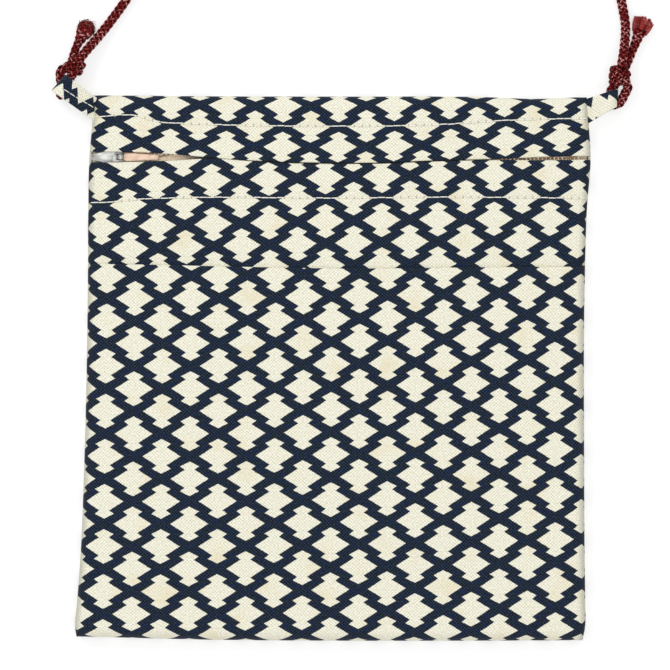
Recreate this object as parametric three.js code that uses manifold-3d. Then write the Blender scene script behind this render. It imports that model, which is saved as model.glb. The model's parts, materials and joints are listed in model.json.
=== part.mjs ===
// Shoulder pouch: a flat cotton pouch with a zip under a folded lip, a front slip pocket and a knotted cord.
// Millimetres, +Z up. The pouch lies on its back on the surface z = 0, with its top edge towards +Y.
// The origin is under the middle of the box round the body and its two tabs.

import * as THREE from 'three';
import { mergeVertices } from 'three/addons/utils/BufferGeometryUtils.js';
import Module from 'manifold-3d';

const wasm = await Module();
wasm.setup();

// Body of the pouch
const POUCH_WIDTH = 199.2;        // between the side edges, at mid height
const POUCH_HEIGHT = 218;         // from the bottom edge to the top fold
const TOP_EDGE_Y = 104.7;         // where the top fold lies
const CLOTH = 1.2;                // wall of lined cotton
const GAP = 0.3;                  // between pieces that touch
const SEAM_HEIGHT = 3.5;          // height of the edge seam above the surface
const EDGE_ROLL = 4.5;            // how far in from the edge the cloth has rolled flat
const FRONT_RISE = 5.2;           // height of the pocket face above the seam, beside the roll
const PUFF = 3.4;                 // further rise of the face in the middle of the body
const PUFF_POWER = 2.4;           // how square the raised middle is

// Top band, zip and pocket
const BAND_DEPTH = 24.6;          // top fold to the lip's edge
const SLIT_GAP = 4;               // widest opening between the lip and the front panel
const POCKET_DEPTH = 150.8;       // bottom edge to the pocket's mouth
const POCKET_NICK = 2.6;          // height over which the front panel steps out above the pocket
const TAPE_WIDTH = 13;            // one side of the zip
const TAPE_THICKNESS = 1;
const CHAIN_WIDTH = 3.2;          // zip teeth, across
const CHAIN_HEIGHT = 2;
const TOOTH_PITCH = 3.2;
const TOOTH_DEPTH = 0.5;

// Zip slider and its pull
const SLIDER_LENGTH = 10.6;
const SLIDER_WIDTH = 6.6;
const PLATE = 0.7;                // thickness of the slider's two plates
const NOSE_WIDTH = 2.4;           // width of the post between the plates
const LOWER_PLATE_SET_BACK = 0.24; // share of its length that the lower plate starts behind the nose
const SLIDER_INSET = 1.6;         // from the pouch's left edge to the slider's nose
const PIN_RADIUS = 0.45;
const EYE_RADIUS = 1.15;          // outside of the pull's eye
const EYE_CLEARANCE = 0.25;       // pin to eye, all round
const EYE_WIDTH = 1.8;
const LUG_WIDTH = 0.5;
const LUG_CLEARANCE = 0.2;        // eye to each lug
const PULL_LENGTH = 14.4;         // from the pin to the tip
const PULL_WIDTH = 2.8;
const PULL_TIP_WIDTH = 1.7;
const PULL_THICKNESS = 1.1;

// Tabs and cord
const TAB_TUNNEL = 4.6;           // clear height of the fold that the cord runs through
const CORD_DIAMETER = 4;
const CORD_SIDES = 8;
const KNOT_RADIUS = 4.1;
const TAIL_END_RADIUS = 3.3;      // fuzzy end of the left tail
const FRAY_LOCKS = 7;             // strips in the frayed end of the right tail
const FRAY_LENGTH = 6.6;
const FRAY_SPREAD = 3.6;          // how far the locks lean out at their tips

// Outline of the side edges: up is a share of the height, left and right are shares of half the width.
const SIDE_EDGES = [
  { up: 0.000, left: -1.036, right: 0.994 },
  { up: 0.020, left: -1.044, right: 1.004 },
  { up: 0.075, left: -1.036, right: 1.006 },
  { up: 0.150, left: -1.024, right: 1.004 },
  { up: 0.330, left: -1.008, right: 1.002 },
  { up: 0.650, left: -0.994, right: 1.004 },
  { up: 0.800, left: -0.992, right: 1.014 },
  { up: 0.885, left: -0.988, right: 1.028 },
  { up: 0.955, left: -0.975, right: 1.019 },
  { up: 1.000, left: -0.968, right: 1.012 },
];

// Bottom edge and top fold: across is a share of the width, lift and dip are shares of the edge's roll.
const END_EDGES = [
  { across: 0.00, lift: 0.36, dip: -0.09 },
  { across: 0.25, lift: 0.09, dip: 0.00 },
  { across: 0.50, lift: 0.00, dip: 0.02 },
  { across: 0.80, lift: 0.00, dip: 0.06 },
  { across: 0.93, lift: 0.02, dip: 0.22 },
  { across: 1.00, lift: 0.04, dip: 0.09 },
];

// The lip and the slit under it: drop is a share of the band's depth, open a share of the widest gap.
const SLIT = [
  { across: 0.00, drop: 0.911, open: 1.02 },
  { across: 0.07, drop: 0.917, open: 0.94 },
  { across: 0.15, drop: 0.949, open: 0.62 },
  { across: 0.23, drop: 1.004, open: 0.10 },
  { across: 0.35, drop: 1.065, open: 0.10 },
  { across: 0.50, drop: 1.089, open: 0.10 },
  { across: 0.58, drop: 1.087, open: 0.10 },
  { across: 0.70, drop: 1.049, open: 0.10 },
  { across: 0.82, drop: 1.026, open: 0.10 },
  { across: 0.93, drop: 0.992, open: 0.32 },
  { across: 1.00, drop: 0.976, open: 0.37 },
];

// Mouth of the front pocket: sag is a share of the pocket's depth.
const POCKET_MOUTH = [
  { across: 0.00, sag: 0.000 },
  { across: 0.07, sag: 0.001 },
  { across: 0.28, sag: 0.007 },
  { across: 0.50, sag: 0.012 },
  { across: 0.80, sag: 0.009 },
  { across: 1.00, sag: 0.007 },
];

const BOTTOM_EDGE_Y = TOP_EDGE_Y - POUCH_HEIGHT;
const HALF_WIDTH = POUCH_WIDTH / 2;
const CORD_RADIUS = CORD_DIAMETER / 2;
const LAYER = CLOTH + GAP;        // one wall of cloth and the gap to the next

const degrees = THREE.MathUtils.degToRad;
const lerp = THREE.MathUtils.lerp;

// Reads one column of a table at a value of its first column, in straight stretches.
function readTable(rows, key, column, value) {
  let index = 0;
  while (index < rows.length - 2 && rows[index + 1][key] < value) index += 1;
  const low = rows[index];
  const high = rows[index + 1];
  const share = THREE.MathUtils.clamp((value - low[key]) / (high[key] - low[key]), 0, 1);
  return lerp(low[column], high[column], share);
}

const upShare = (y) => THREE.MathUtils.clamp((y - BOTTOM_EDGE_Y) / POUCH_HEIGHT, 0, 1);
const leftEdge = (y) => HALF_WIDTH * readTable(SIDE_EDGES, 'up', 'left', upShare(y));
const rightEdge = (y) => HALF_WIDTH * readTable(SIDE_EDGES, 'up', 'right', upShare(y));
const bottomEdge = (across) => BOTTOM_EDGE_Y + EDGE_ROLL * readTable(END_EDGES, 'across', 'lift', across);
const topEdge = (across) => TOP_EDGE_Y - EDGE_ROLL * readTable(END_EDGES, 'across', 'dip', across);
const lipEdge = (across) => TOP_EDGE_Y - BAND_DEPTH * readTable(SLIT, 'across', 'drop', across);
const slitOpening = (across) => SLIT_GAP * readTable(SLIT, 'across', 'open', across);
const frontEdge = (across) => lipEdge(across) - slitOpening(across);
const zipLine = (across) => lipEdge(across) - slitOpening(across) / 2;
const pocketEdge = (across) => (
  BOTTOM_EDGE_Y + POCKET_DEPTH * (1 - readTable(POCKET_MOUTH, 'across', 'sag', across))
);

// Rise of the front in the middle of the body, falling to nothing at the rolled edges.
function puffAt(x, y) {
  const across = (x - leftEdge(y)) / (rightEdge(y) - leftEdge(y));
  const sideways = 1 - Math.abs(THREE.MathUtils.clamp(2 * across - 1, -1, 1)) ** PUFF_POWER;
  const upwards = 1 - Math.abs(2 * upShare(y) - 1) ** PUFF_POWER;
  return PUFF * sideways * upwards;
}

// Height of the front face under an offset from the pocket's outer face, away from the rolled edges.
const frontHeight = (x, y, offset) => SEAM_HEIGHT + GAP / 2 + FRONT_RISE - offset + puffAt(x, y);

// A column or a row of a panel's grid. Rolled ones stand at an angle on the edge's roll, with the seam
// at 0 and the flat face at 90 degrees. The others lie at a share of the way between two lines.
function rolledLine(side, angle) {
  return { side, cos: Math.cos(degrees(angle)), rise: Math.sin(degrees(angle)) };
}

const ROLL_ANGLES = [0, 25, 50, 72];

function columnSet(inner) {
  const columns = ROLL_ANGLES.map((angle) => rolledLine('left', angle));
  for (let index = 0; index <= inner; index += 1) columns.push({ side: 'inner', rise: 1, share: index / inner });
  columns.push(...ROLL_ANGLES.map((angle) => rolledLine('right', angle)).reverse());
  return columns;
}

function rowsBetween(low, high, count) {
  const rows = [];
  for (let index = 0; index <= count; index += 1) {
    const share = index / count;
    rows.push({ rise: 1, y: (across) => lerp(low(across), high(across), share) });
  }
  return rows;
}

function bottomRollRows() {
  return ROLL_ANGLES.map((angle) => {
    const line = rolledLine('bottom', angle);
    return { rise: line.rise, y: (across, offset) => bottomEdge(across) + EDGE_ROLL - (EDGE_ROLL - offset) * line.cos };
  });
}

function topRollRows() {
  return ROLL_ANGLES.map((angle) => {
    const line = rolledLine('top', angle);
    return { rise: line.rise, y: (across, offset) => topEdge(across) - EDGE_ROLL + (EDGE_ROLL - offset) * line.cos };
  }).reverse();
}

// Place of one grid crossing in plan, with the sides and ends pulled in by an offset.
function planPoint(column, row, sideOffset) {
  let across = column.side === 'left' ? 0 : 1;
  if (column.side === 'inner') across = column.share;
  const y = row.y(across, sideOffset);
  const reach = EDGE_ROLL - sideOffset;
  let x = lerp(leftEdge(y) + EDGE_ROLL, rightEdge(y) - EDGE_ROLL, across);
  if (column.side === 'left') x = leftEdge(y) + EDGE_ROLL - reach * column.cos;
  if (column.side === 'right') x = rightEdge(y) - EDGE_ROLL + reach * column.cos;
  return { x, y };
}

function frontPoint(column, row, sideOffset, faceOffset) {
  const { x, y } = planPoint(column, row, sideOffset);
  const rise = (FRONT_RISE - faceOffset) * column.rise * row.rise;
  return new THREE.Vector3(x, y, SEAM_HEIGHT + GAP / 2 + rise + puffAt(x, y) * column.rise * row.rise);
}

function backPoint(column, row, offset) {
  const { x, y } = planPoint(column, row, offset);
  const seam = SEAM_HEIGHT - GAP / 2;
  return new THREE.Vector3(x, y, seam - (seam - offset) * column.rise * row.rise);
}

// Closed solid between two grids of points: layer 0 is the upper one, layer 1 the lower one.
function gridSolid(columns, rows, pointAt) {
  const positions = [];
  const indices = [];
  const across = columns.length;
  const along = rows.length;
  const vertex = (column, row, layer) => (layer * along + row) * across + column;
  for (let layer = 0; layer < 2; layer += 1) {
    for (const row of rows) {
      for (const column of columns) positions.push(...pointAt(column, row, layer).toArray());
    }
  }
  const quad = (a, b, c, d) => indices.push(a, b, c, a, c, d);
  for (let row = 0; row < along - 1; row += 1) {
    for (let column = 0; column < across - 1; column += 1) {
      quad(vertex(column, row, 0), vertex(column + 1, row, 0), vertex(column + 1, row + 1, 0), vertex(column, row + 1, 0));
      quad(vertex(column, row, 1), vertex(column, row + 1, 1), vertex(column + 1, row + 1, 1), vertex(column + 1, row, 1));
    }
  }
  for (let column = 0; column < across - 1; column += 1) {
    const last = along - 1;
    quad(vertex(column, 0, 0), vertex(column, 0, 1), vertex(column + 1, 0, 1), vertex(column + 1, 0, 0));
    quad(vertex(column, last, 0), vertex(column + 1, last, 0), vertex(column + 1, last, 1), vertex(column, last, 1));
  }
  for (let row = 0; row < along - 1; row += 1) {
    const last = across - 1;
    quad(vertex(0, row, 0), vertex(0, row + 1, 0), vertex(0, row + 1, 1), vertex(0, row, 1));
    quad(vertex(last, row, 0), vertex(last, row, 1), vertex(last, row + 1, 1), vertex(last, row + 1, 0));
  }
  const geometry = new THREE.BufferGeometry();
  geometry.setAttribute('position', new THREE.Float32BufferAttribute(positions, 3));
  geometry.setIndex(indices);
  return geometry;
}

// Booleans between closed geometries.
function toSolid(geometry) {
  const bare = geometry.clone();
  bare.deleteAttribute('normal');
  bare.deleteAttribute('uv');
  const merged = mergeVertices(bare, 1e-4);
  return new wasm.Manifold(new wasm.Mesh({
    numProp: 3,
    vertProperties: new Float32Array(merged.getAttribute('position').array),
    triVerts: new Uint32Array(merged.getIndex().array),
  }));
}

function toGeometry(solid) {
  const mesh = solid.getMesh();
  const geometry = new THREE.BufferGeometry();
  geometry.setAttribute('position', new THREE.BufferAttribute(new Float32Array(mesh.vertProperties), 3));
  geometry.setIndex(new THREE.BufferAttribute(new Uint32Array(mesh.triVerts), 1));
  return geometry;
}

const joined = (geometries) => geometries.map(toSolid).reduce((whole, solid) => whole.add(solid));
const join = (geometries) => toGeometry(joined(geometries));
const cutBack = (geometry, tools) => toGeometry(toSolid(geometry).subtract(joined(tools)));

// Round bar along a smooth curve through points.
function tube(points, radius, steps, sides = CORD_SIDES) {
  const section = new THREE.Shape();
  for (let side = 0; side < sides; side += 1) {
    const angle = (2 * Math.PI * side) / sides;
    const move = side === 0 ? 'moveTo' : 'lineTo';
    section[move](radius * Math.cos(angle), radius * Math.sin(angle));
  }
  section.closePath();
  const extrudePath = new THREE.CatmullRomCurve3(points, false, 'centripetal');
  return new THREE.ExtrudeGeometry(section, { steps, extrudePath, bevelEnabled: false });
}

const vector = (x, y, z) => new THREE.Vector3(x, y, z);

function fabric(color) {
  return new THREE.MeshStandardMaterial({ color, roughness: 0.9, metalness: 0 });
}

const PRINTED_COTTON = 0x8f9196;
const pouch = new THREE.Group();
pouch.name = 'shoulder_pouch';

function addPiece(name, geometry, material) {
  const mesh = new THREE.Mesh(geometry, material);
  mesh.name = name;
  pouch.add(mesh);
  return mesh;
}

// Back panel: flat where it rests, rolled up to the seam on all four sides.
function backPanel() {
  const rows = [
    ...bottomRollRows(),
    ...rowsBetween((across) => bottomEdge(across) + EDGE_ROLL, (across) => topEdge(across) - EDGE_ROLL, 9),
    ...topRollRows(),
  ];
  return gridSolid(columnSet(7), rows, (column, row, layer) => backPoint(column, row, layer === 0 ? CLOTH : 0));
}

// Front panel: the whole front wall, from the slit to the bottom, behind the pocket. Above the pocket's
// mouth its sides step out to the pouch's outline.
function frontPanel() {
  const pocketTop = (across) => pocketEdge(across) + GAP;
  const step = (across) => pocketEdge(across) + GAP + POCKET_NICK;
  const hidden = [
    ...bottomRollRows(),
    ...rowsBetween((across) => bottomEdge(across) + EDGE_ROLL, pocketTop, 7),
  ].map((row) => ({ ...row, inset: LAYER }));
  const shown = rowsBetween(step, frontEdge, 3).map((row) => ({ ...row, inset: 0 }));
  return gridSolid(columnSet(14), [...hidden, ...shown], (column, row, layer) => (
    frontPoint(column, row, row.inset + layer * CLOTH, LAYER + layer * CLOTH)
  ));
}

// Front pocket: the outer layer below its mouth, sewn in at the sides and the bottom.
function frontPocket() {
  const rows = [
    ...bottomRollRows(),
    ...rowsBetween((across) => bottomEdge(across) + EDGE_ROLL, pocketEdge, 8),
  ];
  return gridSolid(columnSet(14), rows, (column, row, layer) => frontPoint(column, row, layer * CLOTH, layer * CLOTH));
}

// Top band: from the top fold down to the lip over the zip.
function topBand() {
  const rows = [
    ...rowsBetween(lipEdge, (across) => topEdge(across) - EDGE_ROLL, 3),
    ...topRollRows(),
  ];
  return gridSolid(columnSet(14), rows, (column, row, layer) => (
    frontPoint(column, row, layer * CLOTH, LAYER + layer * CLOTH)
  ));
}

// Zip: two tapes sewn under the lip and the front panel, and the chain of teeth between them.
const WALL_INSIDE = LAYER + CLOTH + GAP;                    // first clear offset inside the front wall
const TAPE_DROP = WALL_INSIDE + PLATE + 2 * GAP;            // level of the tapes beside the chain
const CHAIN_TOP = WALL_INSIDE + GAP / 2;                    // offset of the teeth's upper side
const CHANNEL = CHAIN_WIDTH + 2 * GAP;                      // between the tapes

function zipTape(direction) {
  const inner = (across) => zipLine(across) + direction * (CHANNEL / 2);
  const level = (across) => zipLine(across) + direction * (CHANNEL / 2 + SLIDER_WIDTH / 2);
  const outer = (across) => zipLine(across) + direction * (CHANNEL / 2 + TAPE_WIDTH);
  const rows = [
    { y: inner, rise: 1, drop: TAPE_DROP },
    { y: level, rise: 1, drop: TAPE_DROP },
    { y: outer, rise: 1, drop: WALL_INSIDE },
  ];
  if (direction < 0) rows.reverse();
  return gridSolid(columnSet(14), rows, (column, row, layer) => (
    frontPoint(column, row, LAYER + layer * TAPE_THICKNESS, row.drop + layer * TAPE_THICKNESS)
  ));
}

// Places on the zip line, measured from the pouch's left edge there.
const acrossAt = (x) => (x + HALF_WIDTH) / POUCH_WIDTH;
const SLIDER_NOSE_X = leftEdge(zipLine(0)) + SLIDER_INSET;
const SLIDER_BACK_X = SLIDER_NOSE_X + SLIDER_LENGTH;
const PIN_X = SLIDER_BACK_X + PIN_RADIUS;
const PIN_DROP = WALL_INSIDE - GAP - EYE_RADIUS;            // pin's offset from the pocket's face

function zipChain() {
  const start = SLIDER_BACK_X + GAP;
  const end = rightEdge(zipLine(1)) - EDGE_ROLL;
  const teeth = Math.round((end - start) / (TOOTH_PITCH / 2));
  const columns = [];
  for (let index = 0; index <= teeth; index += 1) {
    columns.push({ x: lerp(start, end, index / teeth), half: CHAIN_WIDTH / 2 - (index % 2) * TOOTH_DEPTH });
  }
  return gridSolid(columns, [{ side: -1 }, { side: 1 }], (column, row, layer) => {
    const y = zipLine(acrossAt(column.x)) + row.side * column.half;
    return vector(column.x, y, frontHeight(column.x, y, CHAIN_TOP + layer * CHAIN_HEIGHT));
  });
}

// Outline of the slider's plates: a round nose that widens to the shoulders and narrows to the back.
function sliderPlate(low, setBack) {
  const half = SLIDER_WIDTH / 2;
  const snout = SLIT_GAP / 2 - GAP;
  const plate = new THREE.Shape();
  plate.moveTo(0, snout * 0.55);
  plate.quadraticCurveTo(SLIDER_LENGTH * 0.03, snout, SLIDER_LENGTH * 0.12, snout);
  plate.lineTo(SLIDER_LENGTH * 0.28, snout);
  plate.quadraticCurveTo(SLIDER_LENGTH * 0.36, half, SLIDER_LENGTH * 0.5, half);
  plate.lineTo(SLIDER_LENGTH, half * 0.78);
  plate.lineTo(SLIDER_LENGTH, -half * 0.78);
  plate.lineTo(SLIDER_LENGTH * 0.5, -half);
  plate.quadraticCurveTo(SLIDER_LENGTH * 0.36, -half, SLIDER_LENGTH * 0.28, -snout);
  plate.lineTo(SLIDER_LENGTH * 0.12, -snout);
  plate.quadraticCurveTo(SLIDER_LENGTH * 0.03, -snout, 0, -snout * 0.55);
  plate.closePath();
  return new THREE.ExtrudeGeometry(plate, { depth: PLATE, bevelEnabled: false, curveSegments: 5 })
    .scale(1 - setBack, 1, 1).translate(SLIDER_LENGTH * setBack, 0, low);
}

// Slider: two plates joined by a post at the nose, with two lugs and a pin for the pull on its back.
function zipSlider() {
  const upperTop = -WALL_INSIDE;
  const upperLow = upperTop - PLATE;
  const lowerTop = -(TAPE_DROP + TAPE_THICKNESS + GAP);
  const lugInside = EYE_WIDTH / 2 + LUG_CLEARANCE;
  const pinAlong = SLIDER_LENGTH + PIN_RADIUS;
  const pieces = [sliderPlate(upperLow, 0), sliderPlate(lowerTop - PLATE, LOWER_PLATE_SET_BACK)];
  const postHeight = upperTop - lowerTop + PLATE;
  pieces.push(new THREE.BoxGeometry(SLIDER_LENGTH * 0.18, NOSE_WIDTH, postHeight)
    .translate(SLIDER_LENGTH * LOWER_PLATE_SET_BACK, 0, (upperTop + lowerTop - PLATE) / 2));
  const lug = new THREE.Shape();
  lug.moveTo(SLIDER_LENGTH * 0.45, upperLow);
  lug.lineTo(SLIDER_LENGTH * 0.62, upperTop + EYE_RADIUS * 0.7);
  lug.lineTo(pinAlong - EYE_RADIUS * 0.5, -PIN_DROP + EYE_RADIUS * 0.8);
  lug.lineTo(pinAlong + EYE_RADIUS * 0.8, -PIN_DROP + EYE_RADIUS * 0.5);
  lug.lineTo(pinAlong + EYE_RADIUS * 0.7, -PIN_DROP - EYE_RADIUS * 0.6);
  lug.lineTo(SLIDER_LENGTH - 2 * PLATE, upperTop - PLATE / 2);
  lug.closePath();
  for (const side of [-1, 1]) {
    const cheek = new THREE.ExtrudeGeometry(lug, { depth: LUG_WIDTH, bevelEnabled: false });
    cheek.rotateX(degrees(90)).translate(0, side * (lugInside + LUG_WIDTH / 2) + LUG_WIDTH / 2, 0);
    pieces.push(cheek);
  }
  const pin = new THREE.CylinderGeometry(PIN_RADIUS, PIN_RADIUS, 2 * (lugInside + LUG_WIDTH * 0.8), 10);
  pieces.push(pin.translate(pinAlong, 0, -PIN_DROP));
  return join(pieces);
}

// Pull: a flat tapered tab with a round eye, drawn from the side with the pin at the origin. Its underside
// lies at a height below the pin.
function zipPull(low) {
  const top = low + PULL_THICKNESS;
  const reach = Math.sqrt(EYE_RADIUS ** 2 - Math.min(EYE_RADIUS, Math.abs(top)) ** 2);
  const profile = new THREE.Shape();
  profile.moveTo(reach, top);
  profile.lineTo(PULL_LENGTH - PULL_THICKNESS / 2, top);
  profile.lineTo(PULL_LENGTH, top - PULL_THICKNESS / 2);
  profile.lineTo(PULL_LENGTH - PULL_THICKNESS / 2, low);
  profile.lineTo(EYE_RADIUS, low);
  profile.absarc(0, 0, EYE_RADIUS, Math.asin(-0.95), Math.atan2(top, reach), true);
  const hole = new THREE.Path();
  hole.absarc(0, 0, PIN_RADIUS + EYE_CLEARANCE, 0, 2 * Math.PI, false);
  profile.holes.push(hole);
  const geometry = new THREE.ExtrudeGeometry(profile, { depth: 1, bevelEnabled: false, curveSegments: 12 });
  geometry.rotateX(degrees(90)).translate(0, 0.5, 0);
  const positions = geometry.getAttribute('position');
  const shoulder = EYE_RADIUS * 1.9;
  for (let index = 0; index < positions.count; index += 1) {
    const along = positions.getX(index);
    const share = THREE.MathUtils.clamp((along - shoulder) / (PULL_LENGTH - shoulder), 0, 1);
    const width = along < shoulder ? EYE_WIDTH : lerp(PULL_WIDTH, PULL_TIP_WIDTH, share);
    positions.setY(index, positions.getY(index) * width);
  }
  return geometry;
}

const printed = () => fabric(PRINTED_COTTON);
addPiece('back_panel', backPanel(), printed());
addPiece('front_panel', frontPanel(), printed());
addPiece('front_pocket', frontPocket(), printed());
addPiece('top_band', topBand(), printed());
addPiece('zip_tape_upper', zipTape(1), fabric(0xd8c3a0));
addPiece('zip_tape_lower', zipTape(-1), fabric(0xd8c3a0));
const brass = new THREE.MeshStandardMaterial({ color: 0xa98246, roughness: 0.4, metalness: 1 });
addPiece('zip_chain', zipChain(), brass);

const nickel = () => new THREE.MeshStandardMaterial({ color: 0xc9cacb, roughness: 0.35, metalness: 1 });
const pinY = zipLine(acrossAt(PIN_X));
const slider = addPiece('zip_slider', zipSlider(), nickel());
slider.position.set(SLIDER_NOSE_X, pinY, frontHeight(SLIDER_NOSE_X, pinY, 0));
const pinHeight = frontHeight(SLIDER_NOSE_X, pinY, PIN_DROP);
const chainBelowPin = pinHeight - frontHeight(PIN_X, pinY, CHAIN_TOP);
const pull = addPiece('zip_pull', zipPull(GAP * 1.2 - chainBelowPin), fabric(0xdcb9a0));
const pullTipX = PIN_X + PULL_LENGTH;
const pullTipY = zipLine(acrossAt(pullTipX));
const pullClimb = frontHeight(pullTipX, pullTipY, 0) - frontHeight(PIN_X, pinY, 0);
pull.position.set(PIN_X, pinY, pinHeight);
pull.rotation.set(0, -Math.atan2(pullClimb, PULL_LENGTH), Math.atan2(pullTipY - pinY, PULL_LENGTH));

// Whole body as one closed pillow, swollen by a margin: what a tab is trimmed against.
function bodyPillow(margin) {
  const rows = [
    ...bottomRollRows(),
    ...rowsBetween((across) => bottomEdge(across) + EDGE_ROLL, (across) => topEdge(across) - EDGE_ROLL, 8),
    ...topRollRows(),
  ];
  return gridSolid(columnSet(8), rows, (column, row, layer) => {
    const { x, y } = planPoint(column, row, -margin);
    const rise = column.rise * row.rise;
    const upper = (FRONT_RISE - LAYER + margin + GAP / 2 + puffAt(x, y)) * rise + margin;
    const lower = -(SEAM_HEIGHT + margin) * rise - margin;
    return vector(x, y, SEAM_HEIGHT + (layer === 0 ? upper : lower));
  });
}

// Tab: a cloth strip folded over the cord, seen from the side as a strip that opens into a round fold.
// Its four corners in plan are the root's and the fold's upper and lower ends.
function tabSolid({ rootUpper, rootLower, endUpper, endLower, rootHeight, foldHeight }) {
  const middle = (a, b) => a.clone().add(b).divideScalar(2);
  const leftward = endUpper.x < rootUpper.x;
  const length = middle(rootUpper, rootLower).distanceTo(middle(endUpper, endLower));
  const inner = TAB_TUNNEL / 2;
  const outer = inner + CLOTH;
  const centre = length - outer;
  const arcSteps = 8;
  const profile = new THREE.Shape();
  profile.moveTo(0, CLOTH);
  for (let step = 0; step <= arcSteps; step += 1) {
    const angle = degrees(lerp(110, -110, step / arcSteps));
    profile.lineTo(centre + outer * Math.cos(angle), outer * Math.sin(angle));
  }
  profile.lineTo(0, -CLOTH);
  profile.closePath();
  const tunnel = new THREE.Path();
  tunnel.moveTo(centre - inner * 2.3, 0);
  for (let step = 0; step <= arcSteps; step += 1) {
    const angle = degrees(lerp(-115, 115, step / arcSteps));
    tunnel.lineTo(centre + inner * Math.cos(angle), inner * Math.sin(angle));
  }
  tunnel.closePath();
  profile.holes.push(tunnel);
  const geometry = new THREE.ExtrudeGeometry(profile, { depth: 1, bevelEnabled: false });
  const positions = geometry.getAttribute('position');
  for (let index = 0; index < positions.count; index += 1) {
    const along = positions.getX(index) / length;
    const upper = rootUpper.clone().lerp(endUpper, along);
    const lower = rootLower.clone().lerp(endLower, along);
    const place = leftward ? lower.lerp(upper, positions.getZ(index)) : upper.lerp(lower, positions.getZ(index));
    const height = lerp(rootHeight, foldHeight, Math.min(1, (along * length) / centre));
    positions.setXYZ(index, place.x, place.y, height + positions.getY(index));
  }
  return geometry;
}

// Knot: three crossing turns of the cord round a core. With a margin it is the swollen form that the
// cord's other pieces are cut back from.
function knotTurns(centre, margin = 0) {
  const turn = KNOT_RADIUS - CORD_RADIUS;
  const tilts = [
    { lean: 68, swing: 10 },
    { lean: 62, swing: 75 },
    { lean: 30, swing: 130 },
  ];
  const turns = tilts.map(({ lean, swing }) => (
    new THREE.TorusGeometry(turn, CORD_RADIUS * 0.98 + margin, 8, 12)
      .rotateX(degrees(lean)).rotateZ(degrees(swing)).translate(centre.x, centre.y, centre.z)
  ));
  const core = new THREE.SphereGeometry(turn * 0.9 + margin, 10, 8).translate(centre.x, centre.y, centre.z);
  return [core, ...turns];
}

// The rolled corners of the body, where the tabs are sewn in.
const LEFT_CORNER = vector(leftEdge(TOP_EDGE_Y), TOP_EDGE_Y, 0);
const RIGHT_CORNER = vector(rightEdge(TOP_EDGE_Y), TOP_EDGE_Y, 0);
const from = (corner, x, y, z) => corner.clone().add(vector(x, y, z));

const LEFT_TAB = {
  rootUpper: from(LEFT_CORNER, 3.2, -2.2, 0),
  rootLower: from(LEFT_CORNER, 2.4, -11.6, 0),
  endUpper: from(LEFT_CORNER, -11.4, 8.6, 0),
  endLower: from(LEFT_CORNER, -17.1, 2.2, 0),
  rootHeight: SEAM_HEIGHT,
  foldHeight: 7.8,
};
const RIGHT_TAB = {
  rootUpper: from(RIGHT_CORNER, -2.0, -1.6, 0),
  rootLower: from(RIGHT_CORNER, -1.2, -12.0, 0),
  endUpper: from(RIGHT_CORNER, 12.7, 3.2, 0),
  endLower: from(RIGHT_CORNER, 12.3, -4.0, 0),
  rootHeight: SEAM_HEIGHT,
  foldHeight: 3.7,
};

// Centre line of the ring through each tab, from the knot and back to it.
const LEFT_KNOT = from(LEFT_CORNER, -7.9, 11.7, 4.7);
const LEFT_RING = [
  from(LEFT_CORNER, -9.5, 11.4, 4.4),
  from(LEFT_CORNER, -13.2, 10.4, 3.6),
  from(LEFT_CORNER, -13.6, 7.2, 2.3),
  from(LEFT_CORNER, -13.0, 3.8, 2.1),
  from(LEFT_CORNER, -13.4, 1.0, 3.6),
  from(LEFT_CORNER, -13.0, 0.6, 6.2),
  from(LEFT_CORNER, -12.4, 2.6, 7.8),
  from(LEFT_CORNER, -10.6, 5.4, 7.8),
  from(LEFT_CORNER, -8.6, 8.6, 6.8),
  from(LEFT_CORNER, -7.8, 11.0, 5.2),
];
const RIGHT_KNOT = from(RIGHT_CORNER, 13.1, 8.0, 4.6);
const RIGHT_RING = [
  from(RIGHT_CORNER, 11.2, 6.6, 4.4),
  from(RIGHT_CORNER, 9.2, 3.6, 3.7),
  from(RIGHT_CORNER, 8.5, 0.2, 3.7),
  from(RIGHT_CORNER, 9.0, -3.4, 3.7),
  from(RIGHT_CORNER, 11.6, -5.8, 3.2),
  from(RIGHT_CORNER, 14.8, -4.2, 3.2),
  from(RIGHT_CORNER, 16.2, -0.8, 3.6),
  from(RIGHT_CORNER, 16.4, 2.8, 4.0),
  from(RIGHT_CORNER, 15.2, 6.4, 4.4),
];

// The tab keeps its gap to the body and to the ring of cord that runs through it.
function fittedTab(tab, ring) {
  return cutBack(tabSolid(tab), [bodyPillow(GAP), tube(ring, CORD_RADIUS + GAP, 20)]);
}

addPiece('tab_left', fittedTab(LEFT_TAB, LEFT_RING), printed());
addPiece('tab_right', fittedTab(RIGHT_TAB, RIGHT_RING), printed());

const CORD_RED = 0x6a1c1e;
const braid = () => fabric(CORD_RED);
addPiece('knot_left', join([...knotTurns(LEFT_KNOT), tube(LEFT_RING, CORD_RADIUS, 20)]), braid());
addPiece('knot_right', join([...knotTurns(RIGHT_KNOT), tube(RIGHT_RING, CORD_RADIUS, 20)]), braid());

// Tails: the left one ends in a fuzzy bulge, the right one in a spread of frayed locks.
const LEFT_TAIL = [
  from(LEFT_KNOT, -0.8, 2.6, -1.9),
  from(LEFT_KNOT, 0.4, 6.9, -2.3),
  from(LEFT_KNOT, 2.2, 10.4, -2.2),
  from(LEFT_KNOT, 5.2, 16.0, -1.4),
];
const RIGHT_TAIL = [
  from(RIGHT_KNOT, 1.6, 2.2, -2.1),
  from(RIGHT_KNOT, 4.0, 7.2, -2.3),
  from(RIGHT_KNOT, 6.7, 13.6, -2.3),
  from(RIGHT_KNOT, 8.0, 17.1, -2.2),
];

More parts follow.
